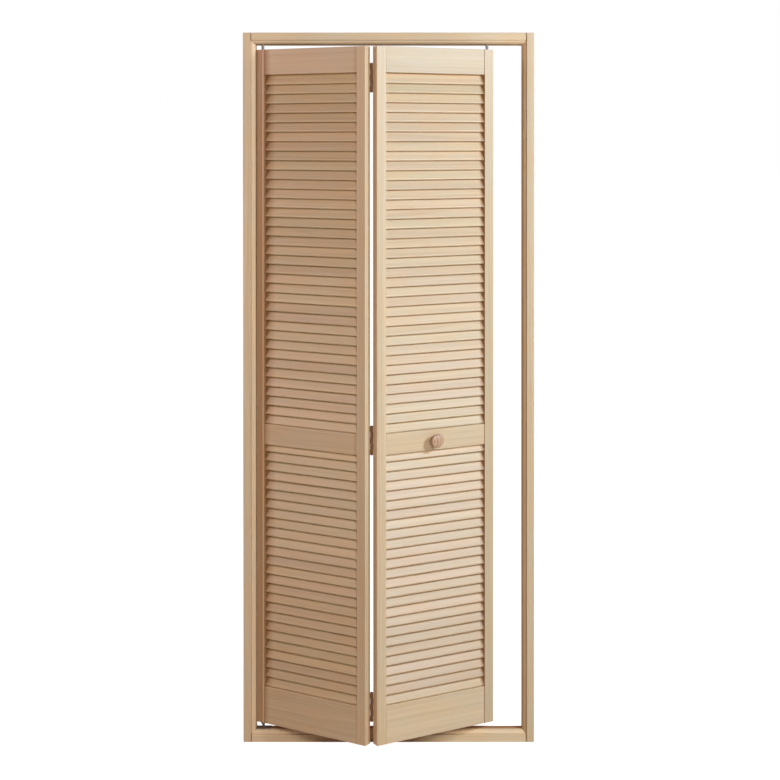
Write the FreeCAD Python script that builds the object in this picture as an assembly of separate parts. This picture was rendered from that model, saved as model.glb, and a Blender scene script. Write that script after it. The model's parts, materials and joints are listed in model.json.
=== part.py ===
import FreeCAD, Part
import math
import os

# Louvred pine bifold closet door in its own frame.  Two leaves fold towards the room: the left one
# turns on pivots beside the left jamb, the right one hangs from it on three hinges and its far end
# follows a track hidden in the head.
#
# Millimetres.  X runs along the opening, -Y is the room side, +Z is up.  The origin is under the
# middle of the sill, on the track's line, at mid depth of the frame.

V = FreeCAD.Vector
UP = V(0, 0, 1)

# ---- frame -------------------------------------------------------------------------------------
frame_width = 840.0
frame_height = 2050.0
frame_depth = 32.0
member_face = 36.0            # width of a jamb, the head and the sill, seen from the front
quirk_width = 2.2             # groove between the flat of that face and the moulding
quirk_depth = 3.5
ovolo_radius = 12.0           # quarter-round moulding along the opening
member_arris = 1.2
joint_groove_width = 1.2      # open at the front of the head's and the sill's butt joints
joint_groove_depth = 4.0

fixing_hole_radius = 2.75     # holes through the jambs for the screws into the wall
fixing_sink_radius = 5.5
fixing_hole_margin = 250.0    # from the top and bottom of the frame
fixing_hole_count = 4

corner_screw_radius = 2.25
corner_screw_head_radius = 4.25
corner_screw_length = 60.0
corner_screw_spread = 16.0    # between the two screws of one corner

# ---- track, in a groove under the head ---------------------------------------------------------
track_width = 16.0
track_height = 18.0
track_recess = 3.0            # mouth of the track above the head's underside
track_wall = 1.2
track_clearance = 0.2
track_end_clearance = 0.3
track_screw_radius = 1.75
track_screw_head_radius = 3.5
track_screw_crown = 2.1
track_screw_crown_radius = 2.1
track_screw_length = 14.0
track_screw_count = 5
track_screw_margin = 70.0
screw_point = 1.0
screw_end_gap = 0.1           # blind hole past a screw's point

# ---- leaves ------------------------------------------------------------------------------------
leaf_thickness = 25.0
turning_clearance = 0.85      # jamb to the leaf's corner as it turns on its pivots
lead_side_gap = 4.0           # leaf to the right jamb when the door is shut
middle_gap = 4.5
head_gap = 13.0
floor_gap = 20.0
stile_width = 29.0
top_rail_height = 72.5
mid_rail_height = 58.8
bottom_rail_height = 107.0
mid_rail_base = 806.8         # lower edge of the mid rail above the foot of the leaf
leaf_arris = 1.0
rest_fold = 30.15             # turn of each leaf from shut, in degrees

slat_pitch = 27.15
slat_width = 34.0
slat_thickness = 6.0
slat_lean = 27.3              # from upright, in degrees, the lower edge towards the room
slat_housing = 6.0            # how far a slat's end goes into the stile
slat_clearance = 0.15
slat_seat_gap = 0.3           # lowest slat's lip above its rail
least_slat_face = 8.0         # a narrower last slat is left out

dowel_radius = 4.0
dowel_in_rail = 24.0
dowel_wall = 1.2              # wood between a dowel's end and the hinge screws
wood_clearance = 0.05         # round dowels and screws in their holes

# ---- hinges ------------------------------------------------------------------------------------
hinge_height = 80.0
hinge_plate_width = 22.0
hinge_plate_thickness = 1.8
hinge_pin_radius = 2.25
hinge_pin_head_step = 1.15
hinge_pin_head = 1.2
hinge_pin_head_chamfer = 0.6
knuckle_count = 5
knuckle_gap = 0.2
knuckle_notch = 0.5
knuckle_lift = 0.2            # knuckles behind the back faces
hinge_top_drop = 14.5         # hinge's middle below the lower edge of the top rail
hinge_mid_rise = 39.2         # above the lower edge of the mid rail
hinge_bottom_rise = 101.0     # above the foot of the leaf
hinge_screw_radius = 1.75
hinge_screw_head_radius = 3.4
hinge_screw_length = 16.0
hinge_screw_spread = 30.0
hinge_screw_inset = 11.5

# ---- pivots and guide --------------------------------------------------------------------------
pin_radius = 4.0
running_clearance = 0.05
sleeve_wall = 1.15
sleeve_cap = 3.0
top_sleeve_length = 36.0
bottom_sleeve_length = 45.0
pin_collar_step = 0.9
pin_collar = 3.0
collar_clearance = 0.15
pin_nose = 1.0                # chamfer on a pin's end
pin_headroom = 1.0            # top pivot pin's tip below the ceiling of the track
spring_wire = 1.0
spring_turns = 7
spring_side_clearance = 0.5
spring_end_gap = 0.1
spring_seat = 8.0             # stub under the collar, inside the spring

bracket_wall = 10.25          # bracket past the pivot pin, away from the jamb
bracket_height = 13.5
bracket_arris = 1.0
bracket_side_clearance = 0.1
bracket_screw_radius = 2.0
bracket_screw_head_radius = 3.9
bracket_screw_length = 24.0
bracket_screw_inset = 6.5     # from the bracket's end at the jamb

roller_side_clearance = 0.3
roller_height = 9.5
roller_rise = 2.1             # underside above the mouth of the track
roller_play = 0.1
roller_arris = 0.8
roller_axle_step = 1.0        # axle thinner than the guide pin
rivet_step = 1.5
rivet_height = 1.5
rivet_chamfer = 0.7

socket_wall = 2.95
socket_depth = 16.0
socket_floor = 4.0
socket_plate_length = 42.0    # along the sill, from beside the jamb
socket_plate_front = 8.5      # from the pivot's line to the plate's edges
socket_plate_back = 13.0
socket_plate_thickness = 2.0
socket_plate_corner = 1.5
socket_plate_clearance = 0.3  # to the jamb
socket_screw_radius = 1.75
socket_screw_head_radius = 3.4
socket_screw_length = 16.0
socket_screw_inset = 6.0      # from the plate's ends
socket_screw_line = 7.0       # behind the pivot's line
nut_flats = 13.0
nut_height = 5.0
nut_chamfer = 1.0
nut_gap = 1.5                 # nut below the foot of the leaf
bottom_pin_in_leaf = 34.0

# ---- knob --------------------------------------------------------------------------------------
knob_off_centre = 9.5         # from the right leaf's middle towards the hinges
knob_radius = 20.0
knob_length = 31.0
knob_foot_radius = 10.0
knob_foot = 2.0
knob_neck_radius = 7.5
knob_neck_height = 7.2
knob_throat_radius = 10.5     # where the neck meets the underside of the head
knob_throat_height = 16.0
knob_under_bulge = 1.3        # belly of the head's underside
knob_rim_round = 6.75
knob_dome_radius = 39.0
knob_screw_radius = 2.0
knob_screw_head_radius = 4.5
knob_screw_head = 2.4
knob_screw_head_chamfer = 0.8
knob_screw_in_knob = 15.0

cut_over = 1.0                # how far a cutting solid runs past the face that it opens

# ---- worked out from the sizes above -----------------------------------------------------------
half_width = frame_width / 2
half_depth = frame_depth / 2
half_opening = half_width - member_face
opening_top = frame_height - member_face
member_flat = member_face - quirk_width - ovolo_radius
fixing_y = (quirk_depth + ovolo_radius) / 2     # middle of the jamb's face behind its moulding
pivot_inset = stile_width / 2
pivot_side_gap = math.hypot(pivot_inset, leaf_thickness / 2) - pivot_inset + turning_clearance
leaf_width = (2 * half_opening - pivot_side_gap - lead_side_gap - middle_gap) / 2
leaf_bottom = member_face + floor_gap
leaf_top = opening_top - head_gap
leaf_front = -leaf_thickness / 2
leaf_back = leaf_thickness / 2
pivot_x = -half_opening + pivot_side_gap + pivot_inset
knuckle_radius = hinge_pin_radius + running_clearance + hinge_plate_thickness
hinge_reach = leaf_width - pivot_inset + middle_gap / 2
hinge_back = leaf_back + knuckle_radius + knuckle_lift
fold = math.radians(rest_fold)
guide_x = pivot_x + 2 * (hinge_reach * math.cos(fold) + hinge_back * math.sin(fold))
mid_rail_bottom = leaf_bottom + mid_rail_base
mid_rail_top = mid_rail_bottom + mid_rail_height
top_rail_bottom = leaf_top - top_rail_height
bottom_rail_top = leaf_bottom + bottom_rail_height
hinge_heights = {
    "top": top_rail_bottom - hinge_top_drop,
    "middle": mid_rail_bottom + hinge_mid_rise,
    "bottom": leaf_bottom + hinge_bottom_rise,
}
dowel_in_stile = stile_width - hinge_screw_inset - hinge_screw_radius - 2 * wood_clearance - dowel_wall
pin_bore = pin_radius + running_clearance
collar_radius = pin_radius + pin_collar_step
sleeve_bore = collar_radius + collar_clearance
sleeve_radius = sleeve_bore + sleeve_wall
spring_radius = sleeve_bore - spring_side_clearance - spring_wire / 2
spring_seat_radius = spring_radius - spring_side_clearance - spring_wire / 2
socket_radius = pin_bore + socket_wall
track_half_inside = track_width / 2 - track_wall
roller_radius = track_half_inside - roller_side_clearance
roller_axle_radius = pin_radius - roller_axle_step
knob_x = leaf_width / 2 - knob_off_centre
knob_height = (mid_rail_bottom + mid_rail_top) / 2
track_foot = opening_top + track_recess
track_ceiling = track_foot + track_height - track_wall
groove_top = track_foot + track_height + track_clearance
socket_plate_start = -half_opening + socket_plate_clearance


# ---- helpers -----------------------------------------------------------------------------------
def box(low, high):
    size = V(*high) - V(*low)
    return Part.makeBox(size.x, size.y, size.z, V(*low))


def rod(start, direction, length, radius):
    return Part.makeCylinder(radius, length, start, direction)


def prism(points, sweep):
    face = Part.Face(Part.makePolygon(points + points[:1]))
    return face.extrude(sweep)


def turned(profile, origin, direction):
    """Turned piece: profile holds (radius, distance along direction) from origin."""
    points = [V(radius, 0, distance) for radius, distance in profile]
    face = Part.Face(Part.makePolygon(points + points[:1]))
    solid = face.revolve(V(0, 0, 0), UP, 360)
    solid.Placement = FreeCAD.Placement(origin, FreeCAD.Rotation(UP, direction))
    return solid


def round_long_edges(solid, radius, along):
    """Round the edges that run along one axis (0, 1 or 2)."""
    edges = []
    for edge in solid.Edges:
        span = edge.Vertexes[-1].Point - edge.Vertexes[0].Point
        if abs(abs(span[along]) - span.Length) < 1e-6:
            edges.append(edge)
    return solid.makeFillet(radius, edges)


def sunk_screw(origin, direction, radius, head_radius, length):
    """Countersunk screw with its head's face at origin, pointing along direction."""
    head = head_radius - radius
    return turned([(0, 0), (head_radius, 0), (radius, head), (radius, length - radius),
                   (0, length)], origin, direction)


def sunk_hole(origin, direction, radius, head_radius, length):
    """The hole that a countersunk screw sits in, a little larger all round."""
    wide = radius + wood_clearance
    head_wide = head_radius + wood_clearance
    return turned([(0, -cut_over), (head_wide, -cut_over), (head_wide, 0),
                   (wide, head_wide - wide), (wide, length + screw_end_gap),
                   (0, length + screw_end_gap)], origin, direction)


def place_left(shape):
    """Leaf pieces are drawn with the leaf's left end at X=0 and its middle plane at Y=0."""
    turn = FreeCAD.Rotation(UP, -rest_fold)
    base = V(pivot_x, 0, 0) - turn.multVec(V(pivot_inset, 0, 0))
    shape.Placement = FreeCAD.Placement(base, turn).multiply(shape.Placement)
    return shape


def place_right(shape):
    turn = FreeCAD.Rotation(UP, rest_fold)
    base = V(guide_x, 0, 0) - turn.multVec(V(leaf_width - pivot_inset, 0, 0))
    shape.Placement = FreeCAD.Placement(base, turn).multiply(shape.Placement)
    return shape


PLACE = {"left": place_left, "right": place_right}


# ---- frame members -----------------------------------------------------------------------------
def member_section(corner, across, back):
    """Face of a frame member's section.  across points from its outer face into the opening."""
    def at(distance, depth):
        return corner + across * distance + back * depth

    ovolo_start = member_flat + quirk_width
    ovolo_middle = math.sqrt(0.5) * ovolo_radius
    step = quirk_depth
    soft = member_arris * (1 - math.sqrt(0.5))
    edges = [
        Part.makeLine(at(0, frame_depth), at(0, member_arris)),
        Part.Arc(at(0, member_arris), at(soft, soft), at(member_arris, 0)).toShape(),
        Part.makeLine(at(member_arris, 0), at(member_flat - member_arris, 0)),
        Part.Arc(at(member_flat - member_arris, 0), at(member_flat - soft, soft),
                 at(member_flat, member_arris)).toShape(),
        Part.makeLine(at(member_flat, member_arris), at(member_flat, step)),
        Part.makeLine(at(member_flat, step), at(ovolo_start, step)),
        Part.Arc(at(ovolo_start, step),
                 at(ovolo_start + ovolo_middle, step + ovolo_radius - ovolo_middle),
                 at(ovolo_start + ovolo_radius, step + ovolo_radius)).toShape(),
        Part.makeLine(at(ovolo_start + ovolo_radius, step + ovolo_radius),
                      at(member_face, frame_depth)),
        Part.makeLine(at(member_face, frame_depth), at(0, frame_depth)),
    ]
    return Part.Face(Part.Wire(edges))


def corner_screw_places(side, height):
    """Two screws go through a jamb into the end of the head or the sill."""
    for offset in (-corner_screw_spread / 2, corner_screw_spread / 2):
        yield V(side * half_width, offset, height), V(-side, 0, 0)


def all_corner_screws():
    middle = member_flat / 2
    for side in (-1, 1):
        for height in (middle, frame_height - middle):
            yield from corner_screw_places(side, height)


def fixing_heights():
    span = frame_height - 2 * fixing_hole_margin
    for index in range(fixing_hole_count):
        yield fixing_hole_margin + span * index / (fixing_hole_count - 1)


def cut_corner_screws(solid):
    for origin, direction in all_corner_screws():
        solid = solid.cut(sunk_hole(origin, direction, corner_screw_radius,
                                    corner_screw_head_radius, corner_screw_length))
    return solid


def make_jamb(side):
    across = V(-side, 0, 0)
    section = member_section(V(side * half_width, -half_depth, 0), across, V(0, 1, 0))
    jamb = section.extrude(V(0, 0, frame_height))
    shoulder = side * (half_width - member_flat)
    inner = side * half_opening
    past = side * (half_opening - cut_over)
    front = -half_depth - cut_over
    for foot, inward in ((0, 1), (frame_height, -1)):
        far = foot - inward * cut_over
        points = [
            V(shoulder, front, foot + inward * member_flat),
            V(inner, front, foot + inward * member_face),
            V(past, front, foot + inward * member_face),
            V(past, front, far),
            V(shoulder, front, far),
        ]
        jamb = jamb.cut(prism(points, V(0, frame_depth + 2 * cut_over, 0)))
    for height in fixing_heights():
        mouth = V(side * half_opening, fixing_y, height)
        jamb = jamb.cut(sunk_hole(mouth, V(side, 0, 0), fixing_hole_radius - wood_clearance,
                                  fixing_sink_radius, member_face + cut_over))
    return cut_corner_screws(jamb)


def joint_groove(side, foot, inward):
    """The narrow open joint at the front between a cross member's butt end and the jamb."""
    shoulder = half_width - member_flat
    ends = sorted((side * (shoulder - joint_groove_width), side * (shoulder + cut_over)))
    heights = sorted((foot - inward * cut_over, foot + inward * member_flat))
    return box((ends[0], -half_depth - cut_over, heights[0]),
               (ends[1], -half_depth + joint_groove_depth, heights[1]))


def make_cross_member(foot, inward):
    """Head or sill: foot is its outer face's height, inward is +1 for the sill, -1 for the head."""
    shoulder = half_width - member_flat
    section = member_section(V(-shoulder, -half_depth, foot), V(0, 0, inward), V(0, 1, 0))
    member = section.extrude(V(2 * shoulder, 0, 0))
    front = -half_depth - cut_over
    past = foot + inward * (member_face + cut_over)
    for side in (-1, 1):
        beyond = side * (shoulder + cut_over)
        points = [
            V(side * shoulder, front, foot + inward * member_flat),
            V(side * half_opening, front, foot + inward * member_face),
            V(side * half_opening, front, past),
            V(beyond, front, past),
            V(beyond, front, foot + inward * member_flat),
        ]
        member = member.cut(prism(points, V(0, frame_depth + 2 * cut_over, 0)))
        member = member.cut(joint_groove(side, foot, inward))
    return cut_corner_screws(member)


def make_head():
    head = make_cross_member(frame_height, -1)
    groove_half = track_width / 2 + track_clearance
    head = head.cut(box((-half_opening, -groove_half, opening_top - cut_over),
                        (half_opening, groove_half, groove_top)))
    for origin in track_screw_places():
        head = head.cut(rod(origin, UP, track_screw_length + screw_end_gap,
                            track_screw_radius + wood_clearance))
    origin = bracket_screw_place()
    return head.cut(rod(origin, UP, bracket_screw_length + screw_end_gap,
                        bracket_screw_radius + wood_clearance))


def make_sill():
    sill = make_cross_member(0, 1)
    for origin in socket_screw_places():
        sill = sill.cut(rod(origin, UP * -1, socket_screw_length + screw_end_gap,
                            socket_screw_radius + wood_clearance))
    seat = V(pivot_x, 0, member_face - socket_depth)
    return sill.cut(rod(seat, UP, socket_depth + cut_over, socket_radius + wood_clearance))


def make_corner_screws():
    return [sunk_screw(origin, direction, corner_screw_radius, corner_screw_head_radius,
                       corner_screw_length) for origin, direction in all_corner_screws()]


# ---- track and what sits in it -----------------------------------------------------------------
def track_screw_places():
    span = 2 * (half_opening - track_screw_margin)
    for index in range(track_screw_count):
        x = -half_opening + track_screw_margin + span * index / (track_screw_count - 1)
        yield V(x, 0, track_ceiling)


def bracket_end():
    return -half_opening + track_end_clearance


def bracket_bottom():
    return track_ceiling - bracket_height


def bracket_screw_place():
    return V(bracket_end() + bracket_screw_inset, 0, bracket_bottom())


def make_track():
    outside = track_width / 2
    end = half_opening - track_end_clearance
    track = box((-end, -outside, track_foot), (end, outside, track_foot + track_height))
    track = track.cut(box((-end - cut_over, -track_half_inside, track_foot - cut_over),
                          (end + cut_over, track_half_inside, track_ceiling)))
    for origin in track_screw_places():
        track = track.cut(rod(origin - UP * cut_over, UP, track_wall + 2 * cut_over,
                              track_screw_radius + wood_clearance))
    return track.cut(rod(bracket_screw_place(), UP, bracket_height + track_wall + cut_over,
                         bracket_screw_radius + wood_clearance))


def make_track_screws():
    profile = [(0, -track_screw_crown), (track_screw_crown_radius, -track_screw_crown),
               (track_screw_head_radius, 0), (track_screw_radius, 0),
               (track_screw_radius, track_screw_length - screw_point), (0, track_screw_length)]
    return [turned(profile, origin, UP) for origin in track_screw_places()]


def make_top_bracket():
    half = track_half_inside - bracket_side_clearance
    low = (bracket_end(), -half, bracket_bottom())
    high = (pivot_x + pin_radius + bracket_wall, half, track_ceiling)
    bracket = round_long_edges(box(low, high), bracket_arris, 2)
    bracket = bracket.cut(rod(V(pivot_x, 0, bracket_bottom() - cut_over), UP,
                              bracket_height + 2 * cut_over, pin_bore))
    return bracket.cut(sunk_hole(bracket_screw_place(), UP, bracket_screw_radius,
                                 bracket_screw_head_radius, bracket_screw_length))


def make_top_bracket_screw():
    return sunk_screw(bracket_screw_place(), UP, bracket_screw_radius, bracket_screw_head_radius,
                      bracket_screw_length)


def socket_screw_places():
    for x in (socket_plate_start + socket_screw_inset,
              socket_plate_start + socket_plate_length - socket_screw_inset):
        yield V(x, socket_screw_line, member_face + socket_plate_thickness)


def make_bottom_socket():
    """Socket let into the sill, with a plate that is screwed down beside the jamb."""
    foot = V(pivot_x, 0, member_face - socket_depth)
    plate_top = member_face + socket_plate_thickness
    plate = box((socket_plate_start, -socket_plate_front, member_face),
                (socket_plate_start + socket_plate_length, socket_plate_back, plate_top))
    plate = round_long_edges(plate, socket_plate_corner, 2)
    socket = plate.fuse(rod(foot, UP, socket_depth + socket_plate_thickness, socket_radius))
    socket = socket.removeSplitter().cut(rod(foot + UP * socket_floor, UP, socket_depth + cut_over,
                                             pin_bore))
    for origin in socket_screw_places():
        socket = socket.cut(sunk_hole(origin, UP * -1, socket_screw_radius,
                                      socket_screw_head_radius, socket_screw_length))
    return socket


def make_socket_screws():
    return [sunk_screw(origin, UP * -1, socket_screw_radius, socket_screw_head_radius,
                       socket_screw_length) for origin in socket_screw_places()]


# ---- leaf pieces, drawn with the leaf's left end at X=0 ------------------------------------------
def slat_section(x, lip_height, grown):
    """Face of one slat with round edges.  lip_height is the height of its lowest point."""
    lean = math.radians(slat_lean)
    radius = slat_thickness / 2 + grown
    half_span = (slat_width - slat_thickness) / 2
    along = V(0, math.sin(lean), math.cos(lean))
    outward = V(0, -math.cos(lean), math.sin(lean))
    lower = V(x, 0, lip_height + slat_thickness / 2) - V(0, along.y * half_span, 0)
    upper = lower + along * (2 * half_span)
    edges = [
        Part.makeLine(lower + outward * radius, upper + outward * radius),
        Part.Arc(upper + outward * radius, upper + along * radius,
                 upper - outward * radius).toShape(),
        Part.makeLine(upper - outward * radius, lower - outward * radius),
        Part.Arc(lower - outward * radius, lower - along * radius,
                 lower + outward * radius).toShape(),
    ]
    return Part.Face(Part.Wire(edges))


def slat_lips(field_bottom, field_top):
    lip = field_bottom + slat_seat_gap
    while lip < field_top - least_slat_face:
        yield lip
        lip += slat_pitch


FIELDS = {"upper": (mid_rail_top, top_rail_bottom), "lower": (bottom_rail_top, mid_rail_bottom)}


def slat_bar(start, length, lip, field_top, grown):
    """One slat, or the slot for it, ripped to width where a rail is in its way."""
    bar = slat_section(start, lip, grown).extrude(V(length, 0, 0))
    limit = field_top - slat_clearance + grown
    if bar.BoundBox.ZMax > limit:
        waste = box((start - cut_over, -leaf_thickness, limit),
                    (start + length + cut_over, leaf_thickness, bar.BoundBox.ZMax + cut_over))
        bar = bar.cut(waste)
    return bar


def make_slats(field):
    bottom, top = FIELDS[field]
    start = stile_width - slat_housing
    length = leaf_width - 2 * start
    return [slat_bar(start, length, lip, top, 0) for lip in slat_lips(bottom, top)]


RAILS = {
    "bottom": (leaf_bottom, bottom_rail_top),
    "mid": (mid_rail_bottom, mid_rail_top),
    "top": (top_rail_bottom, leaf_top),
}


def dowel_heights():
    """Two dowels at each end of a rail, at the quarters of the height that a sleeve leaves free."""
    free_spans = (
        (leaf_bottom + bottom_sleeve_length, bottom_rail_top),
        (mid_rail_bottom, mid_rail_top),
        (top_rail_bottom, leaf_top - top_sleeve_length),
    )
    for low, high in free_spans:
        quarter = (high - low) / 4
        yield low + quarter
        yield high - quarter


def dowel_rods(grown):
    """Dowels of one leaf, or the holes for them."""
    length = dowel_in_stile + dowel_in_rail + 2 * grown
    rods = []
    for height in dowel_heights():
        for start in (stile_width - dowel_in_stile, leaf_width - stile_width - dowel_in_rail):
            rods.append(rod(V(start - grown, 0, height), V(1, 0, 0), length, dowel_radius + grown))
    return rods


def make_dowels():
    return dowel_rods(0)


def make_stile(at_right_end):
    """Stile with the slots that house the slats' ends and the holes for the dowels."""
    left = leaf_width - stile_width if at_right_end else 0
    stile = box((left, leaf_front, leaf_bottom), (left + stile_width, leaf_back, leaf_top))
    stile = round_long_edges(stile, leaf_arris, 2)
    depth = slat_housing + slat_clearance
    start = left - cut_over if at_right_end else left + stile_width - depth
    slots = []
    for bottom, top in FIELDS.values():
        for lip in slat_lips(bottom, top):
            slots.append(slat_bar(start, depth + cut_over, lip, top, slat_clearance))
    return stile.cut(Part.makeCompound(slots + dowel_rods(wood_clearance)))


def make_rail(bottom, top):
    rail = box((stile_width, leaf_front, bottom), (leaf_width - stile_width, leaf_back, top))
    rail = round_long_edges(rail, leaf_arris, 0)
    return rail.cut(Part.makeCompound(dowel_rods(wood_clearance)))


def cut_sleeve_holes(stile, x, bottom_too):
    radius = sleeve_radius + wood_clearance
    stile = stile.cut(rod(V(x, 0, leaf_top - top_sleeve_length), UP,
                          top_sleeve_length + cut_over, radius))
    if bottom_too:
        stile = stile.cut(rod(V(x, 0, leaf_bottom - cut_over), UP,
                              bottom_sleeve_length + cut_over, radius))
    return stile


# ---- hinges ------------------------------------------------------------------------------------
def hinge_screw_places(leaf):
    """Screw heads' middles on the back of a leaf's hinge plates."""
    x = leaf_width - hinge_screw_inset if leaf == "left" else hinge_screw_inset
    for middle in hinge_heights.values():
        for offset in (-hinge_screw_spread, 0, hinge_screw_spread):
            yield V(x, leaf_back + hinge_plate_thickness, middle + offset)


def cut_hinge_screws(solid, leaf):
    for origin in hinge_screw_places(leaf):
        solid = solid.cut(sunk_hole(origin, V(0, -1, 0), hinge_screw_radius,
                                    hinge_screw_head_radius, hinge_screw_length))
    return solid


def make_hinge_screws(leaf):
    return [sunk_screw(origin, V(0, -1, 0), hinge_screw_radius, hinge_screw_head_radius,
                       hinge_screw_length) for origin in hinge_screw_places(leaf)]


def hinge_axis_x(leaf):
    return leaf_width + middle_gap / 2 if leaf == "left" else -middle_gap / 2


def make_hinge_plate(leaf, middle):
    """Plate on a leaf's back with every other knuckle: three on the left leaf, two on the right."""
    inward = -1 if leaf == "left" else 1
    axis_x = hinge_axis_x(leaf)
    edge_x = leaf_width if leaf == "left" else 0
    far = edge_x + inward * hinge_plate_width
    near = axis_x + inward * (knuckle_radius + knuckle_notch)
    low = middle - hinge_height / 2
    back = leaf_back + hinge_plate_thickness
    plate = box((min(far, near), leaf_back, low), (max(far, near), back, low + hinge_height))
    step = hinge_height / knuckle_count
    first = 0 if leaf == "left" else 1
    for index in range(first, knuckle_count, 2):
        start = low + index * step + (knuckle_gap / 2 if index else 0)
        end = low + (index + 1) * step - (knuckle_gap / 2 if index < knuckle_count - 1 else 0)
        tab = box((min(near, axis_x), leaf_back, start), (max(near, axis_x), back, end))
        knuckle = rod(V(axis_x, hinge_back, start), UP, end - start, knuckle_radius)
        plate = plate.fuse([tab, knuckle])
    plate = plate.removeSplitter()
    bore = hinge_pin_radius + running_clearance
    plate = plate.cut(rod(V(axis_x, hinge_back, low - cut_over), UP,
                          hinge_height + 2 * cut_over, bore))
    return cut_hinge_screws(plate, leaf)


def make_hinge_pin(middle):
    half = hinge_height / 2 + knuckle_gap / 2
    end = half + hinge_pin_head
    wide = hinge_pin_radius + hinge_pin_head_step
    soft = hinge_pin_head_chamfer
    profile = [(0, -end), (wide - soft, -end), (wide, soft - end), (wide, -half),
               (hinge_pin_radius, -half), (hinge_pin_radius, half), (wide, half),
               (wide, end - soft), (wide - soft, end), (0, end)]
    return turned(profile, V(hinge_axis_x("left"), hinge_back, middle), UP)


# ---- pivots and guide, in the ends of the stiles -------------------------------------------------
def make_top_sleeve(x):
    """Nylon sleeve in the top of a stile.  Its cap keeps the sprung pin's collar inside."""
    profile = [(sleeve_bore, 0), (sleeve_radius, 0), (sleeve_radius, top_sleeve_length),
               (pin_bore, top_sleeve_length), (pin_bore, top_sleeve_length - sleeve_cap),
               (sleeve_bore, top_sleeve_length - sleeve_cap)]
    return turned(profile, V(x, 0, leaf_top - top_sleeve_length), UP)


def collar_top():
    return leaf_top - sleeve_cap - spring_end_gap


def sprung_pin_foot():
    """Profile of the sprung pin up to its collar, with distances from the collar's top."""
    return [(0, -pin_collar - spring_seat), (spring_seat_radius, -pin_collar - spring_seat),
            (spring_seat_radius, -pin_collar), (collar_radius, -pin_collar),
            (collar_radius, 0), (pin_radius, 0)]


def make_top_pivot_pin():
    tip = track_ceiling - pin_headroom - collar_top()
    profile = sprung_pin_foot() + [(pin_radius, tip - pin_nose), (pin_radius - pin_nose, tip),
                                   (0, tip)]
    return turned(profile, V(pivot_inset, 0, collar_top()), UP)


def roller_bottom():
    return track_foot + roller_rise


def make_guide_pin():
    shoulder = roller_bottom() - roller_play - collar_top()
    rivet = shoulder + roller_height + 2 * roller_play
    rivet_radius = roller_axle_radius + rivet_step
    profile = sprung_pin_foot() + [
        (pin_radius, shoulder), (roller_axle_radius, shoulder), (roller_axle_radius, rivet),
        (rivet_radius, rivet), (rivet_radius - rivet_chamfer, rivet + rivet_height),
        (0, rivet + rivet_height)]
    return turned(profile, V(leaf_width - pivot_inset, 0, collar_top()), UP)


def make_roller():
    bore = roller_axle_radius + running_clearance
    soft = roller_arris
    profile = [(bore, 0), (roller_radius - soft, 0), (roller_radius, soft),
               (roller_radius, roller_height - soft), (roller_radius - soft, roller_height),
               (bore, roller_height)]
    return turned(profile, V(leaf_width - pivot_inset, 0, roller_bottom()), UP)


def make_spring(x):
    """Coil spring between the bottom of the sleeve's hole and the pin's collar, one edge per turn."""
    bottom = leaf_top - top_sleeve_length + spring_wire / 2 + spring_end_gap
    top = collar_top() - pin_collar - spring_wire / 2 - spring_end_gap
    pitch = (top - bottom) / spring_turns
    turns = []
    for index in range(spring_turns):
        turn = Part.makeHelix(pitch, pitch, spring_radius)
        turn.translate(V(0, 0, pitch * index))
        turns += turn.Edges
    start = V(spring_radius, 0, 0)
    circle = Part.Wire(Part.makeCircle(spring_wire / 2, start, V(0, 1, 0)))
    spring = Part.Wire(turns).makePipeShell([circle], True, True)
    spring.translate(V(x, 0, bottom))
    return spring


def make_bottom_sleeve():
    profile = [(pin_bore, 0), (sleeve_radius, 0), (sleeve_radius, bottom_sleeve_length),
               (pin_bore, bottom_sleeve_length)]
    return turned(profile, V(pivot_inset, 0, leaf_bottom), UP)


def make_bottom_pivot_pin():
    foot = member_face - socket_depth + socket_floor + running_clearance
    top = leaf_bottom + bottom_pin_in_leaf
    profile = [(0, foot), (pin_radius - pin_nose, foot), (pin_radius, foot + pin_nose),
               (pin_radius, top), (0, top)]
    return turned(profile, V(pivot_inset, 0, 0), UP)


def make_bottom_nut():
    corner = nut_flats / math.sqrt(3)
    foot = V(pivot_inset, 0, leaf_bottom - nut_gap - nut_height)
    points = []
    for index in range(6):
        turn = math.radians(60 * index)
        points.append(foot + V(corner * math.cos(turn), corner * math.sin(turn), 0))
    nut = prism(points, V(0, 0, nut_height))
    crown = turned([(0, 0), (nut_flats / 2, 0), (corner, nut_chamfer),
                    (corner, nut_height - nut_chamfer), (nut_flats / 2, nut_height),
                    (0, nut_height)], foot, UP)
    bore = rod(foot - UP * cut_over, UP, nut_height + 2 * cut_over, pin_bore)
    return nut.common(crown).cut(bore)


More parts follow.
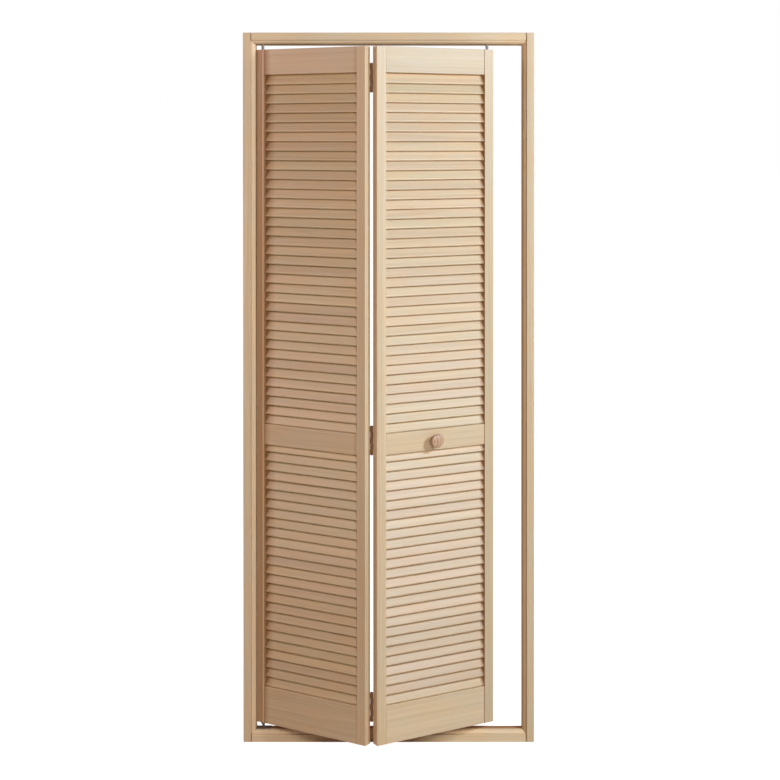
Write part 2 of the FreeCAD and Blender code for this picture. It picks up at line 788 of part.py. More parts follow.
# ---- knob --------------------------------------------------------------------------------------
def make_knob():
    """Turned knob: a waisted foot, and a head whose rim rolls over into a low dome."""
    def at(radius, distance):
        return V(radius, 0, distance)

    dome_centre = knob_length - knob_dome_radius
    rim_centre = knob_radius - knob_rim_round
    reach = knob_dome_radius - knob_rim_round
    rim_height = dome_centre + math.sqrt(reach ** 2 - rim_centre ** 2)
    meet = math.asin(rim_centre / reach)          # from the axis to where the rim meets the dome

    def on_dome(angle):
        return at(knob_dome_radius * math.sin(angle), dome_centre + knob_dome_radius * math.cos(angle))

    def on_rim(angle):
        return at(rim_centre + knob_rim_round * math.sin(angle),
                  rim_height + knob_rim_round * math.cos(angle))

    throat = at(knob_throat_radius, knob_throat_height)
    rim = at(knob_radius, rim_height)
    belly = (throat + rim) * 0.5 + V(knob_under_bulge, 0, -knob_under_bulge)
    edges = [
        Part.makeLine(at(0, 0), at(knob_foot_radius, 0)),
        Part.makeLine(at(knob_foot_radius, 0), at(knob_foot_radius, knob_foot)),
        Part.Arc(at(knob_foot_radius, knob_foot), at(knob_neck_radius, knob_neck_height),
                 throat).toShape(),
        Part.Arc(throat, belly, rim).toShape(),
        Part.Arc(rim, on_rim((math.pi / 2 + meet) / 2), on_rim(meet)).toShape(),
        Part.Arc(on_dome(meet), on_dome(meet / 2), at(0, knob_length)).toShape(),
        Part.makeLine(at(0, knob_length), at(0, 0)),
    ]
    knob = Part.Face(Part.Wire(edges)).revolve(V(0, 0, 0), UP, 360)
    knob = knob.cut(rod(V(0, 0, -cut_over), UP, knob_screw_in_knob + screw_end_gap + cut_over,
                        knob_screw_radius + wood_clearance))
    place = V(knob_x, leaf_front, knob_height)
    knob.Placement = FreeCAD.Placement(place, FreeCAD.Rotation(UP, V(0, -1, 0)))
    return knob


def make_knob_screw():
    tip = leaf_thickness + knob_screw_in_knob
    soft = knob_screw_head_chamfer
    profile = [(0, -knob_screw_head), (knob_screw_head_radius - soft, -knob_screw_head),
               (knob_screw_head_radius, soft - knob_screw_head), (knob_screw_head_radius, 0),
               (knob_screw_radius, 0), (knob_screw_radius, tip), (0, tip)]
    return turned(profile, V(knob_x, leaf_back, knob_height), V(0, -1, 0))


def cut_knob_screw(rail):
    start = V(knob_x, leaf_back + cut_over, knob_height)
    return rail.cut(rod(start, V(0, -1, 0), leaf_thickness + 2 * cut_over,
                        knob_screw_radius + wood_clearance))


# ---- putting it together -------------------------------------------------------------------------
def save(name, shapes):
    """Write one node.  A node of several solids is a compound of them."""
    if not isinstance(shapes, list):
        shapes = [shapes]
    solids = [solid for shape in shapes for solid in shape.Solids]
    whole = solids[0] if len(solids) == 1 else Part.makeCompound(solids)
    assert all(solid.isValid() for solid in solids), name
    whole.exportStep("parts/" + name + ".step")
    print(name, len(solids), round(sum(solid.Volume for solid in solids) / 1000, 2), "cm3")


def save_leaf_piece(leaf, name, shapes):
    """Write a piece of the left or right leaf at its place in the half-folded door."""
    if not isinstance(shapes, list):
        shapes = [shapes]
    save(name, [PLACE[leaf](shape) for shape in shapes])


def build_frame():
    save("jamb_left", make_jamb(-1))
    save("jamb_right", make_jamb(1))
    save("head_member", make_head())
    save("sill", make_sill())
    save("frame_corner_screws", make_corner_screws())
    save("top_track", make_track())
    save("top_track_screws", make_track_screws())
    save("top_pivot_bracket", make_top_bracket())
    save("top_pivot_bracket_screw", make_top_bracket_screw())
    save("bottom_pivot_socket", make_bottom_socket())
    save("bottom_socket_screws", make_socket_screws())


def build_leaf_woodwork(leaf):
    """Stiles, rails, slats and dowels of one leaf."""
    left_stile = make_stile(False)
    right_stile = make_stile(True)
    if leaf == "left":
        left_stile = cut_sleeve_holes(left_stile, pivot_inset, True)
        right_stile = cut_hinge_screws(right_stile, leaf)
        names = ("left_pivot_stile", "left_hinge_stile")
    else:
        left_stile = cut_hinge_screws(left_stile, leaf)
        right_stile = cut_sleeve_holes(right_stile, leaf_width - pivot_inset, False)
        names = ("right_hinge_stile", "right_lead_stile")
    save_leaf_piece(leaf, names[0], left_stile)
    save_leaf_piece(leaf, names[1], right_stile)
    for rail_name, (bottom, top) in RAILS.items():
        rail = make_rail(bottom, top)
        if leaf == "right" and rail_name == "mid":
            rail = cut_knob_screw(rail)
        save_leaf_piece(leaf, leaf + "_" + rail_name + "_rail", rail)
    for field in FIELDS:
        save_leaf_piece(leaf, leaf + "_" + field + "_slats", make_slats(field))
    save_leaf_piece(leaf, leaf + "_dowels", make_dowels())


def build_hinges():
    for place, middle in hinge_heights.items():
        for leaf in PLACE:
            save_leaf_piece(leaf, "hinge_" + place + "_" + leaf + "_plate",
                            make_hinge_plate(leaf, middle))
        save_leaf_piece("left", "hinge_" + place + "_pin", make_hinge_pin(middle))
    for leaf in PLACE:
        save_leaf_piece(leaf, "hinge_screws_" + leaf, make_hinge_screws(leaf))


def build_pivots_and_guide():
    guide_inset = leaf_width - pivot_inset
    save_leaf_piece("left", "top_pivot_sleeve", make_top_sleeve(pivot_inset))
    save_leaf_piece("left", "top_pivot_pin", make_top_pivot_pin())
    save_leaf_piece("left", "top_pivot_spring", make_spring(pivot_inset))
    save_leaf_piece("left", "bottom_pivot_sleeve", make_bottom_sleeve())
    save_leaf_piece("left", "bottom_pivot_pin", make_bottom_pivot_pin())
    save_leaf_piece("left", "bottom_pivot_nut", make_bottom_nut())
    save_leaf_piece("right", "guide_sleeve", make_top_sleeve(guide_inset))
    save_leaf_piece("right", "guide_pin", make_guide_pin())
    save_leaf_piece("right", "guide_spring", make_spring(guide_inset))
    save_leaf_piece("right", "guide_roller", make_roller())


def build_knob():
    save_leaf_piece("right", "knob", make_knob())
    save_leaf_piece("right", "knob_screw", make_knob_screw())


def report_axes():
    """Print the joint axes at rest and the track's line."""
    hinge_x = (pivot_x + guide_x) / 2
    hinge_y = -hinge_reach * math.sin(fold) + hinge_back * math.cos(fold)
    print("pivot", round(pivot_x, 5), 0)
    print("hinge", round(hinge_x, 5), round(hinge_y, 5))
    print("guide", round(guide_x, 5), 0)
    print("leaf", round(leaf_width, 4), "by", leaf_top - leaf_bottom)


os.makedirs("parts", exist_ok=True)
build_frame()
build_leaf_woodwork("left")
build_leaf_woodwork("right")
build_hinges()
build_pivots_and_guide()
build_knob()
report_axes()
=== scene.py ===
import cmath
import json
import math
import random

import bmesh
import bpy
from bpy.props import FloatProperty, FloatVectorProperty, IntProperty, PointerProperty
from bpy.types import Operator, Panel, PropertyGroup
from mathutils import Matrix, Vector


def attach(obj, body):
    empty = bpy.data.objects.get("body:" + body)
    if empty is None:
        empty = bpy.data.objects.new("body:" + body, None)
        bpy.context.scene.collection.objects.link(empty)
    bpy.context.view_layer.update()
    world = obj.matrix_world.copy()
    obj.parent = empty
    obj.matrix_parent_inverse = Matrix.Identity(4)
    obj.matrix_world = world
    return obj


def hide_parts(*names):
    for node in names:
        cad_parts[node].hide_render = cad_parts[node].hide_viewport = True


bl_info = {
    "name": "Louvred bifold closet door",
    "version": (1, 0, 0),
    "blender": (4, 5, 0),
    "location": "View3D > Sidebar > Bifold door",
    "description": "Finishes the boards, slats, knob, hinges and hardware of a pine bifold door",
    "category": "Object",
}

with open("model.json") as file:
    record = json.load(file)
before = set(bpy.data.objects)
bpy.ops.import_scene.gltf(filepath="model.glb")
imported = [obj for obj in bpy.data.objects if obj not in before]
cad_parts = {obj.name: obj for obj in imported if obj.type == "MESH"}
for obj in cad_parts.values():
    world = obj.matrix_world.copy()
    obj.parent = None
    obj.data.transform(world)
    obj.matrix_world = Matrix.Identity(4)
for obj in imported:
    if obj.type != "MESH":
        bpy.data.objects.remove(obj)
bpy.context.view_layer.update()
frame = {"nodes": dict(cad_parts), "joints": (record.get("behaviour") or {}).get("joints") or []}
NODES = frame["nodes"]

# The door stands half folded.  Each leaf is turned about the upright axis, and its own space is
# the room turned back by that much: x along the leaf, -y out of its face on the room side, z up.
# The frame isn't turned.
FOLD_RANGE = next(joint for joint in frame["joints"] if joint["name"] == "left_leaf_fold")["range_deg"]
FOLD = math.radians(-FOLD_RANGE[0])
TURNS = {"left": -FOLD, "right": FOLD, "frame": 0.0}
BODIES = {"left": "left_leaf", "right": "right_leaf", "frame": "frame"}
LEAVES = ("left", "right")

MM = 0.001
SAME_POINT = 1e-6

# The grain's way along each board.
UPRIGHT, LEVEL = "upright", "level"
BOARDS = {
    "frame": {"jamb_left": UPRIGHT, "jamb_right": UPRIGHT, "head_member": LEVEL, "sill": LEVEL},
    "left": {"left_pivot_stile": UPRIGHT, "left_hinge_stile": UPRIGHT, "left_top_rail": LEVEL,
             "left_mid_rail": LEVEL, "left_bottom_rail": LEVEL},
    "right": {"right_hinge_stile": UPRIGHT, "right_lead_stile": UPRIGHT, "right_top_rail": LEVEL,
              "right_mid_rail": LEVEL, "right_bottom_rail": LEVEL},
}


# ---- settings ----
COLOR = {"subtype": "COLOR", "size": 3, "min": 0, "max": 1}
LENGTH = {"subtype": "DISTANCE", "unit": "LENGTH"}
SHARE = {"subtype": "FACTOR", "min": 0}
POWER = {"subtype": "POWER", "unit": "POWER", "min": 0, "max": 500}


class DoorWoodSettings(PropertyGroup):
    early_wood: FloatVectorProperty(
        name="Early wood", description="Pale wood between the growth rings",
        default=(0.70, 0.525, 0.335), **COLOR)
    late_wood: FloatVectorProperty(
        name="Late wood", description="Darker wood at the end of each ring",
        default=(0.53, 0.335, 0.175), **COLOR)
    ring_width: FloatProperty(
        name="Ring width", description="Growth of one year",
        default=0.0036, min=0.0005, max=0.01, **LENGTH)
    ring_contrast: FloatProperty(
        name="Ring contrast", description="How strongly the rings show",
        default=0.29, max=1, **SHARE)
    tone_spread: FloatProperty(
        name="Tone spread", description="Difference in tone between one board and the next",
        default=0.035, max=0.3, **SHARE)
    # Colour of the painted shade in grooves, at housed ends and low down, and of the stain in butt
    # joints.
    painted_shade_and_stain: FloatVectorProperty(
        name="Stain", description="Brown that age leaves in grooves, at housed ends and low down",
        default=(0.54, 0.37, 0.25), **COLOR)
    knob_wood: FloatVectorProperty(
        name="Knob wood", description="Pale wood of the turned knob",
        default=(0.61, 0.395, 0.25), **COLOR)
    knob_late_wood: FloatVectorProperty(
        name="Knob late wood", description="Darker wood of the turned knob",
        default=(0.30, 0.15, 0.085), **COLOR)
    knob_ring_width: FloatProperty(
        name="Knob ring width", description="Growth of one year in the knob",
        default=0.0045, min=0.0005, max=0.01, **LENGTH)
    knob_ring_contrast: FloatProperty(
        name="Knob ring contrast", description="How strongly the knob's rings show",
        default=0.75, max=1, **SHARE)
    dowel_wood: FloatVectorProperty(
        name="Dowel wood", description="Beech of the dowels",
        default=(0.62, 0.42, 0.25), **COLOR)


class DoorSlatSettings(PropertyGroup):
    thickness: FloatProperty(
        name="Thickness", description="Thickness of a slat, whose edges are fully round",
        default=0.006, min=0.003, max=0.012, **LENGTH)
    bow: FloatProperty(
        name="Bow", description="Most that a slat bends out of straight",
        default=0.00035, min=0, max=0.001, **LENGTH)
    twist: FloatProperty(
        name="Twist", description="Most that a slat's lean differs at its middle",
        default=math.radians(0.3), min=0, max=math.radians(1), subtype="ANGLE", unit="ROTATION")
    tone_spread: FloatProperty(
        name="Tone spread", description="Difference in tone between one slat and the next",
        default=0.05, max=0.3, **SHARE)
    seed: IntProperty(
        name="Seed", description="Start of the random draws for bow, twist, tone and grain",
        default=41, min=0, max=9999)


class DoorKnobSettings(PropertyGroup):
    foot_radius: FloatProperty(
        name="Foot radius", description="Radius of the knob's foot on the rail",
        default=0.010, min=0.005, max=0.02, **LENGTH)
    neck_radius: FloatProperty(
        name="Neck radius", description="Radius of the waist behind the head",
        default=0.0075, min=0.004, max=0.02, **LENGTH)
    segments: IntProperty(
        name="Segments", description="Faces round the knob", default=112, min=24, max=256)


class DoorMetalSettings(PropertyGroup):
    bronze: FloatVectorProperty(
        name="Bronze", description="Dark bronze paint of the hinges",
        default=(0.240, 0.115, 0.055), **COLOR)
    bronze_wear: FloatVectorProperty(
        name="Bronze wear", description="Metal that shows where the paint has rubbed thin",
        default=(0.30, 0.17, 0.09), **COLOR)
    nylon: FloatVectorProperty(
        name="Nylon", description="Aged nylon of sleeves, bracket and roller, and enamel of the track",
        default=(0.50, 0.46, 0.40), **COLOR)
    thread_pitch: FloatProperty(
        name="Thread pitch", description="Pitch of the thread on the bottom pivot pin",
        default=0.00125, min=0.0005, max=0.003, **LENGTH)


class DoorStageSettings(PropertyGroup):
    front_power: FloatProperty(
        name="Front light", description="Power of the soft light in front", default=47.0, **POWER)
    front_color: FloatVectorProperty(
        name="Front colour", description="Colour of the front light",
        default=(1.0, 1.0, 0.92), **COLOR)
    right_power: FloatProperty(
        name="Right light", description="Power of the high soft light on the right",
        default=86.0, **POWER)
    right_color: FloatVectorProperty(
        name="Right colour", description="Colour of the right light",
        default=(0.69, 0.84, 1.0), **COLOR)
    left_power: FloatProperty(
        name="Left light", description="Power of the soft light on the left",
        default=26.0, **POWER)
    left_color: FloatVectorProperty(
        name="Left colour", description="Colour of the left light",
        default=(1.0, 0.78, 0.84), **COLOR)
    light_size: FloatProperty(
        name="Light size", description="Width and height of the soft lights",
        default=0.7, min=0.1, max=4, **LENGTH)
    ambient: FloatProperty(
        name="Ambient", description="Brightness of the studio all round",
        default=0.12, min=0, max=2)
    ambient_color: FloatVectorProperty(
        name="Ambient colour", description="Colour of the light from all round",
        default=(1.0, 0.55, 0.55), **COLOR)
    floor_fill: FloatProperty(
        name="Floor fill", description="How much the floor is brightened to look white",
        default=0.97, max=1, **SHARE)


# ---- measuring the frame ----
def in_own_space(points, group):
    """Points in the own space of the left leaf, the right leaf or the frame."""
    turn_back = Matrix.Rotation(-TURNS[group], 3, "Z")
    return [turn_back @ point for point in points]


def span(points):
    """Lowest and highest corner of some points."""
    low = Vector([min(point[axis] for point in points) for axis in range(3)])
    high = Vector([max(point[axis] for point in points) for axis in range(3)])
    return low, high


def node_box(node, group):
    """Lowest and highest corner of a CAD node in its group's own space."""
    points = [vertex.co.copy() for vertex in NODES[node].data.vertices]
    return span(in_own_space(points, group))


def solids_of(node):
    """Corner points of each separate solid in a CAD node."""
    copy = bmesh.new()
    copy.from_mesh(NODES[node].data)
    bmesh.ops.remove_doubles(copy, verts=copy.verts, dist=SAME_POINT)
    seen = set()
    solids = []
    for start in copy.verts:
        if start in seen:
            continue
        seen.add(start)
        waiting = [start]
        solid = []
        while waiting:
            vertex = waiting.pop()
            solid.append(vertex.co.copy())
            for edge in vertex.link_edges:
                other = edge.other_vert(vertex)
                if other not in seen:
                    seen.add(other)
                    waiting.append(other)
        solids.append(solid)
    copy.free()
    return sorted(solids, key=lambda solid: tuple(round(value, 4) for value in span(solid)[0]))


# ---- making pieces ----
SHARP_ANGLE = math.radians(35)


def add_piece(name, maker, group, node, material):
    """Turn a bmesh drawn in its group's own space into a piece that stands for a CAD node."""
    mesh = bpy.data.meshes.new(name)
    maker.transform(Matrix.Rotation(TURNS[group], 4, "Z"))
    bmesh.ops.recalc_face_normals(maker, faces=maker.faces)
    maker.to_mesh(mesh)
    maker.free()
    mesh.materials.append(material)
    mesh.shade_smooth()
    mesh.set_sharp_from_angle(angle=SHARP_ANGLE)
    piece = bpy.data.objects.new(name, mesh)
    bpy.context.scene.collection.objects.link(piece)
    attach(piece, BODIES[group])
    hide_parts(node)


def join_rings(maker, first, second):
    for index in range(len(first)):
        after = (index + 1) % len(first)
        maker.faces.new((first[index], first[after], second[after], second[index]))


def close_ring(maker, ring, tip):
    """Fan of triangles from a ring to one point."""
    end = maker.verts.new(tip)
    for index in range(len(ring)):
        maker.faces.new((ring[index], ring[(index + 1) % len(ring)], end))


def even_angles(count):
    return [math.tau * index / count for index in range(count)]


def turned_piece(maker, place, rings, angles, first_tip, last_tip):
    """Piece turned about place's Z axis, between two tips on it.

    rings holds pairs of a radius, or a list of one for each angle, and a height.
    """
    previous = None
    for radii, height in rings:
        if not isinstance(radii, list):
            radii = [radii] * len(angles)
        ring = [
            maker.verts.new(place @ Vector((radius * math.cos(angle), radius * math.sin(angle), height)))
            for radius, angle in zip(radii, angles)]
        if previous is None:
            close_ring(maker, ring, place @ Vector((0, 0, first_tip)))
        else:
            join_rings(maker, previous, ring)
        previous = ring
    close_ring(maker, previous, place @ Vector((0, 0, last_tip)))


def dress(node, material):
    """Give a CAD node, which has one material, its finish."""
    NODES[node].data.materials[0] = material


def dress_all(nodes, material):
    for node in nodes:
        dress(node, material)


# ---- node helpers ----
class NodeMaker:
    """Short calls for adding and linking nodes of one tree."""

    def __init__(self, tree):
        self.tree = tree

    def add(self, kind, **settings):
        node = self.tree.nodes.new(kind)
        for name, value in settings.items():
            setattr(node, name, value)
        return node

    def put(self, socket, value):
        """Link an output or what a maker of nodes adds, or set a plain value."""
        if callable(value):
            value = value(self)
        if isinstance(value, bpy.types.NodeSocket):
            self.tree.links.new(value, socket)
        else:
            socket.default_value = value

    def feed(self, node, values):
        """Fill the inputs of a node, given by name or in order."""
        pairs = values.items() if isinstance(values, dict) else enumerate(values)
        for name, value in pairs:
            self.put(node.inputs[name], value)

    def math(self, operation, *values):
        node = self.add("ShaderNodeMath", operation=operation)
        self.feed(node, values)
        return node.outputs[0]

    def product(self, first, *others):
        for other in others:
            first = self.math("MULTIPLY", first, other)
        return first

    def vector(self, operation, *values):
        node = self.add("ShaderNodeVectorMath", operation=operation)
        self.feed(node, values)
        return node.outputs["Value" if operation == "LENGTH" else "Vector"]

    def scaled(self, vector, factor):
        node = self.add("ShaderNodeVectorMath", operation="SCALE")
        self.feed(node, {"Vector": vector, "Scale": factor})
        return node.outputs["Vector"]

    def separate(self, vector):
        node = self.add("ShaderNodeSeparateXYZ")
        self.put(node.inputs[0], vector)
        return node.outputs

    def combine(self, x, y, z):
        node = self.add("ShaderNodeCombineXYZ")
        self.feed(node, (x, y, z))
        return node.outputs[0]

    def noise(self, point, scale, detail=2.0, roughness=0.5, output="Fac"):
        """Noise of a place.  A scale of three numbers differs along the axes."""
        if isinstance(scale, tuple):
            point = self.vector("MULTIPLY", point, scale)
            scale = 1.0
        node = self.add("ShaderNodeTexNoise")
        self.feed(node, {"Vector": point, "Scale": scale, "Detail": detail, "Roughness": roughness})
        return node.outputs[output]

    def noise_along(self, value, scale):
        """Noise of one number."""
        node = self.add("ShaderNodeTexNoise", noise_dimensions="1D")
        self.feed(node, {"W": value, "Scale": scale, "Detail": 1.0})
        return node.outputs["Fac"]

    def smooth(self, value, given, results=(0.0, 1.0)):
        """Smooth step from one range of values to another."""
        node = self.add("ShaderNodeMapRange", interpolation_type="SMOOTHSTEP")
        self.feed(node, {"Value": value, "From Min": given[0], "From Max": given[1],
                         "To Min": results[0], "To Max": results[1]})
        return node.outputs["Result"]

    def ramp(self, value, stops):
        """Piecewise straight curve through (place, height) stops with places from low to high."""
        node = self.add("ShaderNodeValToRGB")
        low, high = stops[0][0], stops[-1][0]
        part = self.math("DIVIDE", self.math("SUBTRACT", value, low), high - low)
        self.put(node.inputs["Fac"], part)
        elements = node.color_ramp.elements
        for place, height in stops[1:-1]:
            elements.new((place - low) / (high - low))
        for element, (place, height) in zip(elements, stops):
            element.position = (place - low) / (high - low)
            element.color = (height, height, height, 1)
        return node.outputs["Color"]

    def mix(self, factor, first, second, blend="MIX"):
        node = self.add("ShaderNodeMix", data_type="RGBA", blend_type=blend)
        self.put(node.inputs["Factor"], factor)
        a, b = [socket for socket in node.inputs if socket.type == "RGBA"]
        self.put(a, first)
        self.put(b, second)
        return next(socket for socket in node.outputs if socket.type == "RGBA")

    def shaded(self, color, shade):
        """Colour made lighter or darker by a factor."""
        return self.mix(1.0, color, self.combine(shade, shade, shade), "MULTIPLY")

    def object_point(self):
        return self.add("ShaderNodeTexCoord").outputs["Object"]

    def bump(self, shader, height, strength, distance):
        node = self.add("ShaderNodeBump")
        self.feed(node, {"Strength": strength, "Distance": distance, "Height": height})
        self.put(shader.inputs["Normal"], node.outputs["Normal"])


def with_alpha(color):
    return (color[0], color[1], color[2], 1.0)


def cleared(owner):
    """Node maker of a new material or world, whose own nodes are taken out."""
    owner.use_nodes = True
    owner.node_tree.nodes.clear()
    return NodeMaker(owner.node_tree)


def new_material(name):
    material = bpy.data.materials.new(name)
    make = cleared(material)
    shader = make.add("ShaderNodeBsdfPrincipled")
    make.feed(make.add("ShaderNodeOutputMaterial"), {"Surface": shader.outputs["BSDF"]})
    return material, make, shader


# ---- wood figure ----
FIGURE = "Pine figure"
FIGURE_SOCKETS = {
    "INPUT": {"Point": "Vector", "Early wood": "Color", "Late wood": "Color",
              "Ring width": "Float", "Contrast": "Float", "Tone": "Float", "Warmth": "Float"},
    "OUTPUT": {"Color": "Color", "Height": "Float", "Roughness": "Float"},
}

# Scales of noise per metre, along the fibres and twice across them, or outward from the pith.
WANDER_SCALE = (1.3, 9.0, 9.0)
FIBRE_SCALE = (7.0, 620.0, 620.0)
STREAK_SCALE = (1.1, 75.0, 75.0)
FLECK_SCALE = (38.0, 900.0, 900.0)
BLUSH_SCALE = (9.0, 24.0, 24.0)
YEAR_SCALE, BAND_SCALE = 95.0, 42.0

WANDER = 0.016               # metres that the trunk wanders
YEAR_DRIFT = 2.6             # years by which the rings run ahead or behind
DARKENING = (0.28, 0.93)     # part of a year's growth over which the wood darkens
PALING = (0.94, 1.0)         # part over which it turns pale again
BAND_STRENGTHS = (0.45, 1.0)     # how dark the late wood is in dull and in strong years

# Tones at both ends of the range of each, and what a fleck takes off.
FIBRE_TONES = (0.955, 1.045)
STREAK_TONES = (0.95, 1.05)
BAND_TONES = (1.025, 0.965)
FLECK_TONE = 0.10
PALE_PATCH = (0.985, 1.01, 1.035, 1)
WARM_PATCH = (1.015, 0.985, 0.94, 1)
WARMTH_TINT = (0.006, -0.007, 0.012)     # change of red, green and blue for each unit of warmth

FIBRE_HEIGHT, LATE_HEIGHT, FLECK_DEPTH = 0.6, 0.35, 0.5
FIBRE_ROUGHNESS, LATE_ROUGHNESS = (0.42, 0.54), -0.05
GRAIN_BUMP_STRENGTH, GRAIN_BUMP_DISTANCE = 0.35, 0.00025


def make_figure_group():
    """Node group that saws a board out of a trunk: rings about the x axis, fibres along it.

    Point is a place in the trunk in metres, with the pith on the x axis.
    """
    group = bpy.data.node_groups.new(FIGURE, "ShaderNodeTree")
    for way, kinds in FIGURE_SOCKETS.items():
        for name, kind in kinds.items():
            group.interface.new_socket(name, in_out=way, socket_type="NodeSocket" + kind)
    make = NodeMaker(group)
    given = make.add("NodeGroupInput").outputs
    result = make.add("NodeGroupOutput").inputs

    wander = make.noise(given["Point"], WANDER_SCALE, 3.0, output="Color")
    shift = make.vector("SUBTRACT", wander, (0.5, 0.5, 0.5))
    bent = make.vector("ADD", given["Point"], make.scaled(shift, WANDER))
    across = make.vector("LENGTH", make.vector("MULTIPLY", bent, (0.0, 1.0, 1.0)))

    # Years differ in width: the phase of the rings runs ahead and behind.
    drift = make.product(make.noise_along(across, YEAR_SCALE), YEAR_DRIFT)
    years = make.math("DIVIDE", across, given["Ring width"])
    phase = make.math("FRACT", make.math("ADD", years, drift))
    bands = make.smooth(make.noise_along(across, BAND_SCALE), (0.3, 0.7))
    late = make.product(make.smooth(phase, DARKENING), make.smooth(phase, PALING, (1.0, 0.0)),
                        make.smooth(bands, (0.0, 1.0), BAND_STRENGTHS))

    fibre = make.noise(bent, FIBRE_SCALE, 4.0, 0.65)
    streak = make.noise(bent, STREAK_SCALE, 3.0, 0.6)
    fleck = make.smooth(make.noise(bent, FLECK_SCALE, 1.0), (0.68, 0.8))
    blush = make.smooth(make.noise(bent, BLUSH_SCALE), (0.32, 0.68))

    color = make.mix(make.product(late, given["Contrast"]), given["Early wood"], given["Late wood"])
    shade = make.product(
        make.smooth(fibre, (0.25, 0.75), FIBRE_TONES), make.smooth(streak, (0.25, 0.75), STREAK_TONES),
        make.math("SUBTRACT", 1.0, make.product(fleck, FLECK_TONE)),
        make.smooth(bands, (0.0, 1.0), BAND_TONES), given["Tone"])
    color = make.shaded(color, shade)
    tint = make.vector("ADD", make.scaled(WARMTH_TINT, given["Warmth"]), (1.0, 1.0, 1.0))
    color = make.mix(1.0, color, tint, "MULTIPLY")
    patches = make.mix(blush, PALE_PATCH, WARM_PATCH)
    make.put(result["Color"], make.mix(1.0, color, patches, "MULTIPLY"))

    raised = make.math("ADD", make.product(fibre, FIBRE_HEIGHT), make.product(late, LATE_HEIGHT))
    make.put(result["Height"], make.math("SUBTRACT", raised, make.product(fleck, FLECK_DEPTH)))
    rough = make.smooth(fibre, (0.2, 0.8), FIBRE_ROUGHNESS)
    make.put(result["Roughness"], make.math("ADD", rough, make.product(late, LATE_ROUGHNESS)))
    return group


def wood_material(name, colors, rings, point, tone, warmth, painted_shade_and_stain=None):
    """Wood of some colours (early, late) and rings (width, contrast).

    point is the maker of the nodes that give the place in the trunk.  tone and warmth are numbers
    or makers too, and the last one makes the nodes that give how far painted shade and joint stain
    darken the wood.
    """
    material, make, shader = new_material(name)
    group = bpy.data.node_groups.get(FIGURE) or make_figure_group()
    figure = make.add("ShaderNodeGroup", node_tree=group)
    make.feed(figure, {
        "Point": point, "Early wood": with_alpha(colors[0]), "Late wood": with_alpha(colors[1]),
        "Ring width": rings[0], "Contrast": rings[1], "Tone": tone, "Warmth": warmth})
    color = figure.outputs["Color"]
    # Painted shade, and stain in the butt joints, darken the wood: the stain colour raised to the number
    # of coats.
    if painted_shade_and_stain:
        shade_and_stain_coats = make.add("ShaderNodeGamma")
        make.feed(shade_and_stain_coats, {"Color": with_alpha(bpy.context.scene.door_wood.painted_shade_and_stain), "Gamma": painted_shade_and_stain})
        color = make.mix(1.0, color, shade_and_stain_coats.outputs["Color"], "MULTIPLY")
    make.feed(shader, {"Base Color": color, "Roughness": figure.outputs["Roughness"],
                       "Specular IOR Level": 0.5})
    make.bump(shader, figure.outputs["Height"], GRAIN_BUMP_STRENGTH, GRAIN_BUMP_DISTANCE)
    return material


def pine_material(name, point, tone, warmth, painted_shade_and_stain):
    wood = bpy.context.scene.door_wood
    return wood_material(name, (wood.early_wood, wood.late_wood),
                         (wood.ring_width, wood.ring_contrast), point, tone, warmth, painted_shade_and_stain)


def board_axes(make, group, middle):
    """Object coordinates in a group's own space, counted from a board's middle."""
    turn = make.add("ShaderNodeVectorRotate", rotation_type="Z_AXIS")
    make.feed(turn, {"Vector": make.object_point(), "Angle": -TURNS[group]})
    return make.separate(make.vector("SUBTRACT", turn.outputs["Vector"], tuple(middle)))


def board_point(group, grain, middle, pith):
    """Maker of the nodes that turn object coordinates into a board's place in its trunk."""
    def add_nodes(make):
        x, y, z = board_axes(make, group, middle)
        ordered = make.combine(z, x, y) if grain == UPRIGHT else make.combine(x, z, y)
        return make.vector("ADD", ordered, tuple(pith))
    return add_nodes


def attribute(name, output="Fac"):
    """Maker of the node that reads a mesh attribute."""
    def add_nodes(make):
        return make.add("ShaderNodeAttribute", attribute_name=name).outputs[output]
    return add_nodes


# ---- curves over a board ----
# A curve is an axis, a side of the board and stops of (millimetres in from that side, height), or
# a mesh attribute, no side and stops of (value, height).
LOW, HIGH, BOTH, MIDDLE = "low side", "high side", "both sides", "middle"

# Colour ramps hold heights up to 1, so they hold a curve's heights as shares of this.
CURVE_TOP = 3.0


def in_metres(reach, side, stops):
    """Stops as places in metres from the middle of a board that reaches so far to both sides."""
    starts = {LOW: [(-reach, MM)], HIGH: [(reach, -MM)], BOTH: [(-reach, MM), (reach, -MM)],
              MIDDLE: [(0, MM)]}[side]
    return sorted((start + way * distance, height)
                  for start, way in starts for distance, height in stops)


def highest_of(curves, group, low, high):
    """Maker of the nodes that follow the highest of some curves over a board."""
    middle, half = (low + high) / 2, (high - low) / 2

    def add_nodes(make):
        axes = dict(zip("xyz", board_axes(make, group, middle)))
        result = None
        for source, side, stops in curves:
            if source in axes:
                along = axes[source]
                stops = in_metres(half["xyz".index(source)], side, stops)
            else:
                along = attribute(source)(make)
            value = make.ramp(along, [(place, height / CURVE_TOP) for place, height in stops])
            result = value if result is None else make.math("MAXIMUM", result, value)
        return make.product(result, CURVE_TOP)
    return add_nodes


# Millimetres in from a frame board's inner edge to the end of its moulding, both sides of the
# groove beside it at full depth, the start of its flat, and its outer edge.
MOULD_END, GROOVE_START, GROOVE_END, FLAT_START, FACE_END = 11.8, 12.4, 13.8, 14.4, 36
STILE_END = 29


def groove(shade_and_stain_coats):
    """Stops of the painted shade in the groove beside a moulding."""
    return ((MOULD_END, 0.0), (GROOVE_START, shade_and_stain_coats), (GROOVE_END, shade_and_stain_coats), (FLAT_START, 0.0),
            (FACE_END, 0.0))


